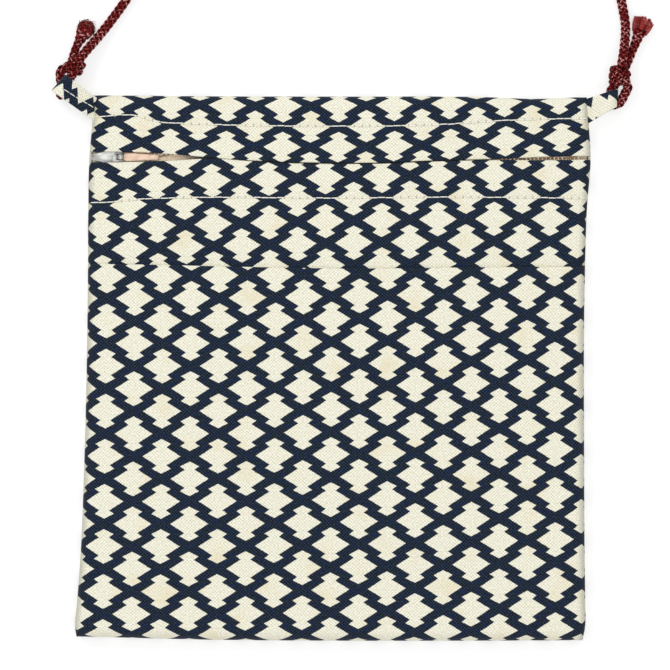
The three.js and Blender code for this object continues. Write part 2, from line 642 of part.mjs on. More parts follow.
function bulgedTail() {
  const end = LEFT_TAIL.at(-1);
  const bulge = new THREE.SphereGeometry(TAIL_END_RADIUS, 12, 9)
    .scale(1, 0.95, 0.95).translate(end.x, end.y, end.z);
  return cutBack(join([tube(LEFT_TAIL, CORD_RADIUS, 6), bulge]), knotTurns(LEFT_KNOT, GAP));
}

function frayedTail() {
  const end = RIGHT_TAIL.at(-1);
  const heading = end.clone().sub(RIGHT_TAIL.at(-2)).normalize();
  const sideways = vector(heading.y, -heading.x, 0);
  const start = end.clone().addScaledVector(heading, -1.5);
  const pieces = [tube(RIGHT_TAIL, CORD_RADIUS, 6)];
  for (let lock = 0; lock < FRAY_LOCKS; lock += 1) {
    const fan = lerp(-1, 1, lock / (FRAY_LOCKS - 1));
    const lift = (lock % 2 === 0 ? 0.5 : -0.35) * (1 - Math.abs(fan));
    const root = start.clone().addScaledVector(sideways, fan * CORD_RADIUS * 0.55);
    const bend = root.clone().addScaledVector(heading, FRAY_LENGTH * 0.5)
      .addScaledVector(sideways, fan * FRAY_SPREAD * 0.35);
    const tip = root.clone().addScaledVector(heading, FRAY_LENGTH * (1 - 0.12 * (lock % 3)))
      .addScaledVector(sideways, fan * FRAY_SPREAD * 0.75);
    bend.z += lift;
    tip.z += lift * 2;
    pieces.push(tube([root, bend, tip], CORD_RADIUS * 0.42, 2, 5));
  }
  return cutBack(join(pieces), knotTurns(RIGHT_KNOT, GAP));
}

addPiece('tail_left', bulgedTail(), braid());
addPiece('tail_right', frayedTail(), braid());

// Shoulder cord: from the left knot out of the pouch's top, once round the pouch on the surface it lies on,
// and back to the right knot.
const CORD_ROUTE = [
  [-103.4, 117.8, 7.0], [-99.2, 123.2, 5.4], [-93.8, 129.8, 2.9], [-89.8, 135.0, 2.1], [-83.4, 144.0, 2.1],
  [-78.4, 154.0, 2.1], [-80.6, 166.0, 2.1], [-91.0, 174.4, 2.1], [-106.0, 175.0, 2.1], [-124.0, 167.0, 2.1],
  [-139.0, 151.0, 2.1], [-147.0, 128.0, 2.1], [-148.6, 92.0, 2.1], [-144.8, 50.0, 2.1], [-144.4, 8.0, 2.1],
  [-147.0, -38.0, 2.1], [-147.0, -82.0, 2.1], [-146.4, -112.0, 2.1], [-139.6, -131.0, 2.1], [-122.0, -138.6, 2.1],
  [-66.0, -137.0, 2.1], [-4.0, -135.8, 2.1], [56.0, -139.0, 2.1], [119.0, -139.4, 2.1], [138.6, -132.0, 2.1],
  [146.2, -113.0, 2.1], [147.6, -80.0, 2.1], [145.0, -36.0, 2.1], [144.6, 8.0, 2.1], [147.8, 54.0, 2.1],
  [149.4, 98.0, 2.1], [148.4, 134.0, 2.1], [142.6, 158.0, 2.1], [130.0, 168.0, 2.1], [117.8, 162.6, 2.1],
  [113.6, 151.0, 2.1], [114.8, 143.0, 2.1], [116.4, 133.2, 2.3], [115.7, 123.6, 5.0], [114.3, 115.6, 7.2],
];
const CORD_STEPS = 80;
const cordTube = tube(CORD_ROUTE.map(([x, y, z]) => vector(x, y, z)), CORD_RADIUS, CORD_STEPS);
const bothKnots = [...knotTurns(LEFT_KNOT, GAP), ...knotTurns(RIGHT_KNOT, GAP)];
addPiece('shoulder_cord', cutBack(cordTube, bothKnots), braid());

export default pouch;
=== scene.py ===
"""Shoulder pouch of printed cotton: a zip under a folded lip, a slip pocket and a knotted braided cord.

Metres, +Z up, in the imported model's own frame. The pouch lies on its back on the surface z = 0, with its
top edge towards +Y.
"""
import json
import logging
from dataclasses import dataclass, field
from enum import Enum
from typing import Callable

import bpy
import numpy as np
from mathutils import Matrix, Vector


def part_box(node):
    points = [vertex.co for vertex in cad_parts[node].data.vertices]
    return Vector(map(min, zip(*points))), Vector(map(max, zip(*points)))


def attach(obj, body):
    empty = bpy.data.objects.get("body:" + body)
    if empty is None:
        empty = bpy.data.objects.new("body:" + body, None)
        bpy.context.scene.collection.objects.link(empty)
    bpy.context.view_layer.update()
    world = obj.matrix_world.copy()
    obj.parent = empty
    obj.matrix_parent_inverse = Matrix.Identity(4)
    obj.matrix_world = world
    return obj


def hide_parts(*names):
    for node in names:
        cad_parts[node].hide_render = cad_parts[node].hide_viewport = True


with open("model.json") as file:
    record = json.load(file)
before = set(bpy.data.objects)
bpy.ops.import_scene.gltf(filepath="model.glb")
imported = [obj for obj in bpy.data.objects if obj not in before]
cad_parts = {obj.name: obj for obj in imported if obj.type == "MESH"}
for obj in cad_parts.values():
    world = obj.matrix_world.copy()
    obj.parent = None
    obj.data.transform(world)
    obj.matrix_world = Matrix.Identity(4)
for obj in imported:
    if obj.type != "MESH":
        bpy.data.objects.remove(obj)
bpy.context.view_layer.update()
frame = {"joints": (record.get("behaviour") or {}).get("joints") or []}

LOG = logging.getLogger("shoulder_pouch")

Array = np.ndarray
Sizes = Array | float
Line = Callable[[Array], Array]
Pair = tuple[float, float]
Trio = tuple[float, float, float]
Colour = tuple[float, float, float]
BLACK: Colour = (0.0, 0.0, 0.0)

POUCH = "pouch"
ZIP_PULL = "zip_pull"
UP = np.array([0.0, 0.0, 1.0])
TURN = 2 * np.pi
MILLI = 1000.0      # millimetres in a metre, which the maps count in
FAR = 50.0          # millimetres, in a map whose line is nowhere near

# The shoulder cord's way, as chosen for the solids: out of the left knot, round the pouch on the
# surface, and back to the right knot.
CORD_ROUTE = (
    (-0.1034, 0.1178, 0.0070), (-0.0992, 0.1232, 0.0054), (-0.0938, 0.1298, 0.0029),
    (-0.0898, 0.1350, 0.0021), (-0.0834, 0.1440, 0.0021), (-0.0784, 0.1540, 0.0021),
    (-0.0806, 0.1660, 0.0021), (-0.0910, 0.1744, 0.0021), (-0.1060, 0.1750, 0.0021),
    (-0.1240, 0.1670, 0.0021), (-0.1390, 0.1510, 0.0021), (-0.1470, 0.1280, 0.0021),
    (-0.1486, 0.0920, 0.0021), (-0.1448, 0.0500, 0.0021), (-0.1444, 0.0080, 0.0021),
    (-0.1470, -0.0380, 0.0021), (-0.1470, -0.0820, 0.0021), (-0.1464, -0.1120, 0.0021),
    (-0.1396, -0.1310, 0.0021), (-0.1220, -0.1386, 0.0021), (-0.0660, -0.1370, 0.0021),
    (-0.0040, -0.1358, 0.0021), (0.0560, -0.1390, 0.0021), (0.1190, -0.1394, 0.0021),
    (0.1386, -0.1320, 0.0021), (0.1462, -0.1130, 0.0021), (0.1476, -0.0800, 0.0021),
    (0.1450, -0.0360, 0.0021), (0.1446, 0.0080, 0.0021), (0.1478, 0.0540, 0.0021),
    (0.1494, 0.0980, 0.0021), (0.1484, 0.1340, 0.0021), (0.1426, 0.1580, 0.0021),
    (0.1300, 0.1680, 0.0021), (0.1178, 0.1626, 0.0021), (0.1136, 0.1510, 0.0021),
    (0.1148, 0.1430, 0.0021), (0.1164, 0.1332, 0.0023), (0.1157, 0.1236, 0.0050),
    (0.1143, 0.1156, 0.0072),
)


def lerp(low: Array, high: Array, share: Array) -> Array:
    """Straight mix of two values: low where share is 0, high where it is 1."""
    return low + (high - low) * share


def ease(low: float, high: float, value: Array) -> Array:
    """Smooth step from 0 at low to 1 at high, by the cubic 3t2 - 2t3."""
    share = np.clip((value - low) / (high - low), 0.0, 1.0)
    return share * share * (3.0 - 2.0 * share)


def unit(vectors: Array) -> Array:
    """The vectors, each divided by its own length."""
    return vectors / np.linalg.norm(vectors, axis=-1, keepdims=True)


@dataclass(frozen=True)
class SmoothTable:
    """A short table, read by a smooth curve through its rows."""

    places: tuple[float, ...]
    values: tuple[float, ...]

    def at(self, place: Array) -> Array:
        """Cubic through the two rows beside each place, with the table's own slopes at them.

        Args:
            place: where to read, in the table's first column.
        Returns:
            The values there, held level beyond the table's ends.
        """
        places = np.asarray(self.places)
        values = np.asarray(self.values)
        slopes = np.gradient(values, places)
        row = np.clip(np.searchsorted(places, place) - 1, 0, len(places) - 2)
        step = places[row + 1] - places[row]
        share = np.clip((place - places[row]) / step, 0.0, 1.0)
        rest = 1.0 - share
        ends = values[row] * (1.0 + 2.0 * share) * rest**2 + values[row + 1] * (3.0 - 2.0 * share) * share**2
        bends = slopes[row] * share * rest**2 - slopes[row + 1] * rest * share**2
        return ends + bends * step


def curve_through(points: Array, per_stretch: int = 24) -> Array:
    """Smooth curve through points: a centripetal Catmull-Rom, as in the solids.

    Each stretch is the cubic whose end slopes weigh the chords beside it by the root of their lengths.

    Args:
        points: the chosen points, one row each.
        per_stretch: points made between two chosen ones.
    Returns:
        The curve's points.
    """
    points = np.asarray(points, float)
    whole = np.vstack([2 * points[0] - points[1], points, 2 * points[-1] - points[-2]])
    before, start, stop, after = whole[:-3], whole[1:-2], whole[2:-1], whole[3:]
    knot = [np.sqrt(np.linalg.norm(b - a, axis=1, keepdims=True)) for a, b in
            ((before, start), (start, stop), (stop, after))]
    leave = (start - before) / knot[0] - (stop - before) / (knot[0] + knot[1]) + (stop - start) / knot[1]
    arrive = (stop - start) / knot[1] - (after - start) / (knot[1] + knot[2]) + (after - stop) / knot[2]
    leave = (leave * knot[1])[:, None]
    arrive = (arrive * knot[1])[:, None]
    share = np.linspace(0.0, 1.0, per_stretch, endpoint=False)[None, :, None]
    gap = (stop - start)[:, None]
    curve = start[:, None] + leave * share + (3 * gap - 2 * leave - arrive) * share**2
    curve = curve + (leave + arrive - 2 * gap) * share**3
    return np.vstack([curve.reshape(-1, points.shape[1]), points[-1:]])


def arc_length(curve: Array) -> Array:
    """Distance along a curve to each of its points."""
    return np.concatenate([[0.0], np.cumsum(np.linalg.norm(np.diff(curve, axis=0), axis=1))])


def points_at(curve: Array, distances: Array) -> Array:
    """Points of a curve at given distances along it."""
    length = arc_length(curve)
    return np.stack([np.interp(distances, length, curve[:, axis]) for axis in range(curve.shape[1])], axis=1)


# Meshes

@dataclass
class Patch:
    """Faces with the same number of corners.

    faces holds vertex numbers, (faces, corners). maps holds each pattern's coordinates, (faces, corners, 2).
    finish is the place of the faces' material in the piece's list.
    """

    faces: Array
    maps: dict[str, Array] = field(default_factory=dict)
    finish: int = 0


@dataclass
class Form:
    """Vertices and the patches of faces between them."""

    vertices: Array
    patches: list[Patch]

    def placed(self, along: Array, aside: Array, up: Array, origin: Array) -> "Form":
        """The same form with its own x, y and z laid along three directions from an origin."""
        turn = np.stack([along, aside, up])
        return Form(self.vertices @ turn + np.asarray(origin), self.patches)

    def plain(self) -> "Form":
        """The same form without its maps."""
        return Form(self.vertices, [Patch(patch.faces) for patch in self.patches])

    def finished(self, finish: int) -> "Form":
        """The same form with all its faces in one place of the piece's list of materials."""
        return Form(self.vertices, [Patch(patch.faces, patch.maps, finish) for patch in self.patches])


def joined(forms: list[Form]) -> Form:
    """One form that holds all the forms, with their faces renumbered."""
    patches = []
    count = 0
    for form in forms:
        patches += [Patch(patch.faces + count, patch.maps, patch.finish) for patch in form.patches]
        count += len(form.vertices)
    return Form(np.vstack([form.vertices for form in forms]), patches)


def grid_faces(rows: int, columns: int, wrap_rows: bool = False, wrap_columns: bool = False) -> Array:
    """Quads of a grid whose vertices are numbered row by row.

    Args:
        rows: number of rows.
        columns: number of columns.
        wrap_rows: joins the last row to the first.
        wrap_columns: joins the last column to the first.
    Returns:
        The quads, which face along columns crossed with rows.
    """
    row = np.arange(rows if wrap_rows else rows - 1)[:, None]
    column = np.arange(columns if wrap_columns else columns - 1)[None, :]
    next_row = (row + 1) % rows
    next_column = (column + 1) % columns
    corners = [row * columns + column, row * columns + next_column,
               next_row * columns + next_column, next_row * columns + column]
    return np.stack([np.broadcast_to(c, (row.size, column.size)) for c in corners], axis=-1).reshape(-1, 4)


def make_object(name: str, form: Form, finishes: list[bpy.types.Material]) -> bpy.types.Object:
    """Puts a form into a smooth mesh object at the origin, with a UV layer for each of its maps.

    Args:
        name: the object's name.
        form: its vertices and faces, in the frame.
        finishes: its materials, in the order that the patches name them.
    Returns:
        The new object.
    """
    mesh = bpy.data.meshes.new(name)
    mesh.vertices.add(len(form.vertices))
    mesh.vertices.foreach_set("co", np.ascontiguousarray(form.vertices, np.float32).ravel())
    corners = np.concatenate([patch.faces.ravel() for patch in form.patches])
    sizes = np.concatenate([np.full(len(patch.faces), patch.faces.shape[1]) for patch in form.patches])
    finish = np.concatenate([np.full(len(patch.faces), patch.finish) for patch in form.patches])
    mesh.loops.add(len(corners))
    mesh.loops.foreach_set("vertex_index", corners.astype(np.int32))
    mesh.polygons.add(len(sizes))
    mesh.polygons.foreach_set("loop_start", np.concatenate([[0], np.cumsum(sizes)[:-1]]).astype(np.int32))
    mesh.polygons.foreach_set("material_index", finish.astype(np.int32))
    mesh.polygons.foreach_set("use_smooth", np.ones(len(sizes), bool))
    for key in sorted({key for patch in form.patches for key in patch.maps}):
        flat = [patch.maps.get(key, np.zeros((*patch.faces.shape, 2))) for patch in form.patches]
        flat = np.vstack([values.reshape(-1, 2) for values in flat])
        mesh.uv_layers.new(name=key).data.foreach_set("uv", flat.astype(np.float32).ravel())
    mesh.update(calc_edges=True)
    mesh.validate()
    for material in finishes:
        mesh.materials.append(material)
    piece = bpy.data.objects.new(name, mesh)
    bpy.context.scene.collection.objects.link(piece)
    return piece


def make_piece(name: str, form: Form, finishes: list[bpy.types.Material],
               node: str | None = None, body: str = POUCH) -> bpy.types.Object:
    """Makes an object that rides on a CAD body.

    Args:
        name: the piece's name.
        form: its vertices and faces.
        finishes: its materials, in the order that the patches name them.
        node: the CAD node that it stands for.
        body: the CAD body that carries it.
    Returns:
        The new object.
    """
    piece = make_object(name, form, finishes)
    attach(piece, body)
    if node:
        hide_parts(node)
    LOG.info("%s: %d faces on %s", name, len(piece.data.polygons), body)
    return piece


def tubes(lines: Array, across: Sizes, upward: Sizes, reference: Array, sides: int) -> Form:
    """Closed tubes along many lines at once.

    Ring point = line point + across times the cosine of the ring's angle sideways + upward times its sine
    towards the reference, with both directions square to the line.

    Args:
        lines: (tubes, rings, 3) points of the lines.
        across: half width, for all rings or for each.
        upward: half height, in the same way.
        reference: direction that upward leans to, for all or for each, never along a line.
        sides: corners of each ring.
    Returns:
        The tubes, with the map yarn: share of the way round, and distance along in millimetres.
    """
    count, rings, _ = lines.shape
    tangent = unit(np.gradient(lines, axis=1))
    up = np.broadcast_to(reference, lines.shape)
    up = unit(up - tangent * np.sum(up * tangent, axis=-1, keepdims=True))
    side = np.cross(tangent, up)
    angle = TURN * np.arange(sides) / sides
    across, upward = (np.broadcast_to(size, (count, rings))[..., None, None] for size in (across, upward))
    ring = lines[:, :, None] + across * np.cos(angle)[:, None] * side[:, :, None]
    ring = ring + upward * np.sin(angle)[:, None] * up[:, :, None]
    one = grid_faces(rings, sides, wrap_columns=True)[:, ::-1]
    first = (np.arange(count) * rings * sides)[:, None, None]
    faces = (one[None] + first).reshape(-1, 4)
    share = (np.arange(sides)[None, :] + np.zeros((rings - 1, 1))).reshape(-1)
    rounds = np.stack([share, share + 1, share + 1, share], axis=1)[:, ::-1] / sides
    steps = np.linalg.norm(np.diff(lines, axis=1, prepend=lines[:, :1]), axis=-1)
    distance = np.cumsum(steps, axis=1) * MILLI
    low = np.repeat(distance[:, :-1], sides, axis=1)
    high = np.repeat(distance[:, 1:], sides, axis=1)
    along = np.stack([low, low, high, high], axis=-1)[:, :, ::-1]
    around = np.broadcast_to(rounds[None], along.shape)
    yarn = np.stack([around, along], axis=-1).reshape(-1, 4, 2)
    start = np.arange(sides)[None, :] + first[:, :, 0]
    end = start[:, ::-1] + (rings - 1) * sides
    caps = Patch(np.vstack([start, end]), {"yarn": np.zeros((2 * count, sides, 2))})
    return Form(ring.reshape(-1, 3), [Patch(faces, {"yarn": yarn}), caps])


def squared(angle: Array, squareness: float) -> tuple[Array, Array]:
    """Cosine and sine of an angle, each to a power with its sign kept: 1 is a circle, near 0 a square."""
    wide = np.sign(np.cos(angle)) * np.abs(np.cos(angle)) ** squareness
    tall = np.sign(np.sin(angle)) * np.abs(np.sin(angle)) ** squareness
    return wide, tall


def rounded_bar(stations: Array, half_width: Sizes, low: Sizes, high: Sizes, sides: int = 20,
                squareness: float = 0.55) -> Form:
    """Closed bar along x whose sections are rounded rectangles.

    Section = half width times cos to the power squareness across, and half the height times sin to the same
    power upwards, with signs kept.

    Args:
        stations: places of the sections along x.
        half_width: half width, of all sections or of each.
        low: height of the underside, in the same way.
        high: height of the top, in the same way.
        sides: corners of a section.
        squareness: power of the section's sine and cosine.
    Returns:
        The bar about its own x axis.
    """
    half_width, low, high = (np.broadcast_to(size, stations.shape) for size in (half_width, low, high))
    wide, tall = squared(TURN * (np.arange(sides) + 0.5) / sides, squareness)
    x = np.broadcast_to(stations[:, None], (len(stations), sides))
    y = half_width[:, None] * wide
    z = (low + high)[:, None] / 2 + (high - low)[:, None] / 2 * tall
    faces = grid_faces(len(stations), sides, wrap_columns=True)[:, ::-1]
    ends = np.stack([np.arange(sides), (len(stations) * sides - 1 - np.arange(sides))])
    return Form(np.stack([x, y, z], axis=-1).reshape(-1, 3), [Patch(faces), Patch(ends)])


# Shader maths

class Value:
    """A number in a material's nodes, with Python's operators adding Math nodes."""

    def __init__(self, graph: "Graph", socket: bpy.types.NodeSocket) -> None:
        """Wraps one output socket of a graph."""
        self.graph = graph
        self.socket = socket

    def _with(self, operation: str, *others: "Value | float", flipped: bool = False) -> "Value":
        """Adds a Math node on this value and others, in that order or flipped."""
        terms = [self, *others]
        if flipped:
            terms.reverse()
        node = self.graph.node("ShaderNodeMath", {"operation": operation}, dict(enumerate(terms)))
        return Value(self.graph, node.outputs[0])

    def __add__(self, other: "Value | float") -> "Value":
        """Sum."""
        return self._with("ADD", other)

    __radd__ = __add__

    def __sub__(self, other: "Value | float") -> "Value":
        """Difference."""
        return self._with("SUBTRACT", other)

    def __rsub__(self, other: float) -> "Value":
        """Difference with this value taken away."""
        return self._with("SUBTRACT", other, flipped=True)

    def __mul__(self, other: "Value | float") -> "Value":
        """Product."""
        return self._with("MULTIPLY", other)

    __rmul__ = __mul__

    def __abs__(self) -> "Value":
        """Size without its sign."""
        return self._with("ABSOLUTE")

    def most(self, other: "Value | float") -> "Value":
        """The larger of two."""
        return self._with("MAXIMUM", other)

    def least(self, other: "Value | float") -> "Value":
        """The smaller of two."""
        return self._with("MINIMUM", other)

    def nearest(self) -> "Value":
        """Rounded to a whole number."""
        return self._with("ROUND")

    def sine(self) -> "Value":
        """Sine of the value in radians."""
        return self._with("SINE")

    def root(self) -> "Value":
        """Square root."""
        return self._with("SQRT")

    def step(self, low: float, high: float) -> "Value":
        """Smooth step from 0 at low to 1 at high."""
        node = self.graph.node("ShaderNodeMapRange", {"interpolation_type": "SMOOTHSTEP"},
                               {"Value": self, "From Min": low, "From Max": high})
        return Value(self.graph, node.outputs["Result"])


class Graph:
    """The nodes of one material."""

    def __init__(self, name: str) -> None:
        """Starts an empty material of that name."""
        self.material = bpy.data.materials.new(name)
        self.material.use_nodes = True
        self.tree = self.material.node_tree
        self.tree.nodes.clear()

    def node(self, kind: str, settings: dict | None = None, sockets: dict | None = None) -> bpy.types.Node:
        """Adds a node.

        Args:
            kind: the node's type.
            settings: its own properties, set first.
            sockets: input name or number to a constant, a Value or an output socket.
        Returns:
            The node.
        """
        node = self.tree.nodes.new(kind)
        for key, value in (settings or {}).items():
            setattr(node, key, value)
        for key, value in (sockets or {}).items():
            source = value.socket if isinstance(value, Value) else value
            if isinstance(source, bpy.types.NodeSocket):
                self.tree.links.new(source, node.inputs[key])
            else:
                node.inputs[key].default_value = source
        return node

    def pattern(self, name: str) -> tuple[Value, Value, bpy.types.NodeSocket]:
        """The two coordinates of one of the piece's own maps, and the map as a vector."""
        vector = self.node("ShaderNodeUVMap", {"uv_map": name}).outputs["UV"]
        parts = self.node("ShaderNodeSeparateXYZ", {}, {0: vector})
        return Value(self, parts.outputs[0]), Value(self, parts.outputs[1]), vector

    def here(self) -> bpy.types.NodeSocket:
        """Object coordinates."""
        return self.node("ShaderNodeTexCoord").outputs["Object"]

    def noise(self, vector: bpy.types.NodeSocket, scale: float, detail: float = 2.0) -> Value:
        """Soft noise about 0.5, with scale in cells for each unit of the vector."""
        node = self.node("ShaderNodeTexNoise", {}, {"Vector": vector, "Scale": scale, "Detail": detail})
        return Value(self, node.outputs[0])

    def mix(self, low: "Colour | bpy.types.NodeSocket", high: "Colour | bpy.types.NodeSocket",
            share: Value) -> bpy.types.NodeSocket:
        """Colour mix: low where share is 0, high where it is 1."""
        low, high = ((*c, 1.0) if isinstance(c, tuple) else c for c in (low, high))
        node = self.node("ShaderNodeMix", {"data_type": "RGBA"}, {0: share, 6: low, 7: high})
        return node.outputs[2]

    def bump(self, height: Value, distance: float, strength: float = 1.0) -> bpy.types.NodeSocket:
        """Normal tilted by a height field; height 1 stands a distance in metres above height 0."""
        node = self.node("ShaderNodeBump", {}, {"Height": height, "Distance": distance, "Strength": strength})
        return node.outputs["Normal"]

    def surface(self, sockets: dict) -> bpy.types.Material:
        """Ends the material in a Principled shader with those sockets."""
        shader = self.node("ShaderNodeBsdfPrincipled", {}, sockets)
        self.node("ShaderNodeOutputMaterial", {}, {"Surface": shader.outputs[0]})
        return self.material


def linear(red: int, green: int, blue: int) -> Colour:
    """A screen colour of 0 to 255 as linear light."""
    shares = np.array([red, green, blue]) / 255
    values = np.where(shares < 0.04045, shares / 12.92, ((shares + 0.055) / 1.055) ** 2.4)
    return tuple(float(value) for value in values)


# Finishes

@dataclass(frozen=True)
class PrintedCotton:
    """Cream cotton with a navy lattice, printed on a plain weave.

    The map print counts cells: a cream figure stands at each whole pair and at each half pair. The map cloth
    is the cloth's own length and width in millimetres. The map seam counts stitches along a topstitched line,
    and gives millimetres from it. The map edge gives millimetres from the side seams. Lengths here are
    millimetres too, and a scale is so many cells of noise in one.
    """

    name: str = "printed_cotton"
    cream_light: Colour = linear(253, 252, 240)
    cream_dark: Colour = linear(180, 175, 136)
    cream_worn: Colour = linear(222, 206, 164)
    navy_dark: Colour = linear(0, 5, 12)
    navy_light: Colour = linear(62, 80, 100)
    navy_blue: Colour = linear(16, 34, 74)
    needle: Colour = linear(136, 108, 80)
    cell_width: float = 22.36
    cell_height: float = 18.0
    diamond: Pair = (7.47, -1.544)      # half width of a figure at its middle, and its change with height
    neck: Pair = (-2.855, 1.3235)
    tip: Pair = (13.24, -1.9216)
    blur: float = 0.24
    ragged: float = 0.6
    yarn_pitch: float = 0.66
    yarn_wander: Pair = (1.2, 0.1)      # how far the yarns stray, and the scale of it
    yarn_edge: float = 0.07             # how far the print's edge follows the yarns
    cream_yarns: Trio = (0.24, 1.0, 0.1)    # shares of the weave and of unevenness, and a lift
    navy_yarns: Trio = (0.4, 1.3, -0.1)
    navy_shine: float = 0.62
    slub_scale: float = 1.3
    wear: Trio = (0.07, 0.78, 0.5)      # scale of the worn patches, noise at which they are full, strength
    tint: Trio = (0.5, 0.66, 0.5)       # the same of the bluer patches
    tint_start: float = 0.44
    edge_shade: Trio = (0.1, 3.4, 0.32)     # start and reach of the painted shade beside the seams, strength
    roughness: Trio = (0.88, -0.04, 0.1)    # of navy yarn, what the cream adds, and what unevenness adds
    specular: float = 0.16
    sheen: Pair = (0.05, 0.5)       # weight and roughness
    relief: float = 0.00012
    relief_shares: Trio = (0.35, 0.65, -1.5)    # of the weave, of unevenness and of a needle hole
    relief_strength: float = 0.9
    stitch_pitch: float = 3.1
    needle_hole: Pair = (0.15, 0.62)    # radius of its floor and of its rim

    def _figure(self, across: Value, up: Value) -> Value:
        """Distance inside one figure's outline, in millimetres.

        Half width = the least of a flare and the most of a diamond and a neck, each a straight line in the
        height above or below the figure's middle.
        """
        aside = abs(across - across.nearest()) * self.cell_width
        height = abs(up - up.nearest()) * self.cell_height
        lines = (self.diamond, self.neck, self.tip)
        diamond, neck, tip = (height * slope + middle for middle, slope in lines)
        return diamond.most(neck).least(tip) - aside

    def _needle_holes(self, stitch: Value, off_line: Value) -> Value:
        """1 in each needle hole of a topstitched line, 0 away from them."""
        from_hole = (stitch - 0.5 - (stitch - 0.5).nearest()) * self.stitch_pitch
        return 1.0 - (from_hole * from_hole + off_line * off_line).root().step(*self.needle_hole)

    def _yarns(self, weave: Value, slub: Value, shares: Trio) -> Value:
        """Light on the yarns, 0 to 1: a share of the weave, a share of its unevenness and a lift."""
        return (weave * shares[0] + slub * shares[1] + shares[2]).least(1.0).most(0.0)

    def build(self) -> bpy.types.Material:
        """The material."""
        graph = Graph(self.name)
        across, up, _ = graph.pattern("print")
        warp, weft, cloth = graph.pattern("cloth")
        stitch, off_line, _ = graph.pattern("seam")
        inward, _, _ = graph.pattern("edge")
        turn = np.pi / self.yarn_pitch
        wander = graph.noise(cloth, self.yarn_wander[1]) * self.yarn_wander[0]
        weave = ((warp + wander) * turn).sine() * ((weft + wander) * turn).sine()
        slub = graph.noise(cloth, self.slub_scale, 3.0)
        inside = self._figure(across, up).most(self._figure(across + 0.5, up + 0.5))
        printed = (inside + (slub - 0.5) * self.ragged + weave * self.yarn_edge).step(-self.blur, self.blur)
        cream = graph.mix(self.cream_dark, self.cream_light, self._yarns(weave, slub, self.cream_yarns))
        scale, full, strength = self.wear
        cream = graph.mix(cream, self.cream_worn, graph.noise(cloth, scale, 4.0).step(0.5, full) * strength)
        light = self._yarns(weave, slub, self.navy_yarns)
        navy = graph.mix(self.navy_dark, self.navy_light, light * light * self.navy_shine)
        scale, full, strength = self.tint
        patches = graph.noise(cloth, scale, 3.0).step(self.tint_start, full)
        navy = graph.mix(navy, self.navy_blue, patches * strength)
        hole = self._needle_holes(stitch, off_line)
        colour = graph.mix(graph.mix(navy, cream, printed), self.needle, hole * printed)
        # painted shade: the cloth darkened near the side seams, where it rolls away from the light
        start, reach, strength = self.edge_shade
        colour = graph.mix(BLACK, colour, 1.0 - (1.0 - inward.step(start, reach)) * strength)
        yarn, lump, dent = self.relief_shares
        height = weave * yarn + slub * lump + hole * dent
        base, on_cream, uneven = self.roughness
        return graph.surface({
            "Base Color": colour,
            "Roughness": printed * on_cream + (slub - 0.5) * uneven + base,
            "Sheen Weight": self.sheen[0],
            "Sheen Roughness": self.sheen[1],
            "Specular IOR Level": self.specular,
            "Normal": graph.bump(height, self.relief, self.relief_strength),
        })


@dataclass(frozen=True)
class WovenCloth:
    """Plain woven cloth on the map cloth, in millimetres: a lining or a zip tape."""

    name: str
    colour: Colour
    shade: Colour
    yarn_pitch: float = 0.6
    rib: float = 0.5                # how much its crosswise yarns stand out
    painted_slit_shade: float = 0.0                # share of painted shadow of the lip on the tape, where the slit is nearly shut
    painted_slit_shade_reach: Pair = (34.0, 46.0)      # from the side seams, over which that painted shadow comes in
    # colour of that painted shadow
    deep: Colour = (0.004, 0.003, 0.003)
    slub_scale: float = 0.9
    mottle: Pair = (0.2, 0.9)       # shares of the weave and of unevenness in the colour
    blend: Pair = (0.2, 0.9)        # where the colour starts to turn to the shade, and has turned
    roughness: Pair = (0.8, 0.15)   # least, and what unevenness adds
    specular: float = 0.25
    sheen: float = 0.1
    relief: float = 0.0001
    relief_strength: float = 0.7

    def build(self) -> bpy.types.Material:
        """The material."""
        graph = Graph(self.name)
        warp, weft, cloth = graph.pattern("cloth")
        inward, _, _ = graph.pattern("edge")
        over = (warp * (TURN / self.yarn_pitch)).sine()
        under = (weft * (TURN / self.yarn_pitch)).sine()
        weave = over * under * (1 - self.rib) + under * self.rib
        slub = graph.noise(cloth, self.slub_scale, 3.0)
        mottled = (weave * self.mottle[0] + slub * self.mottle[1]).step(*self.blend)
        colour = graph.mix(self.colour, self.shade, mottled)
        return graph.surface({
            # painted shadow of the lip, darkening the tape where the slit is nearly shut
            "Base Color": graph.mix(colour, self.deep, inward.step(*self.painted_slit_shade_reach) * self.painted_slit_shade),
            "Roughness": slub * self.roughness[1] + self.roughness[0],
            "Sheen Weight": self.sheen,
            "Specular IOR Level": self.specular,
            "Normal": graph.bump(weave + slub, self.relief, self.relief_strength),
        })


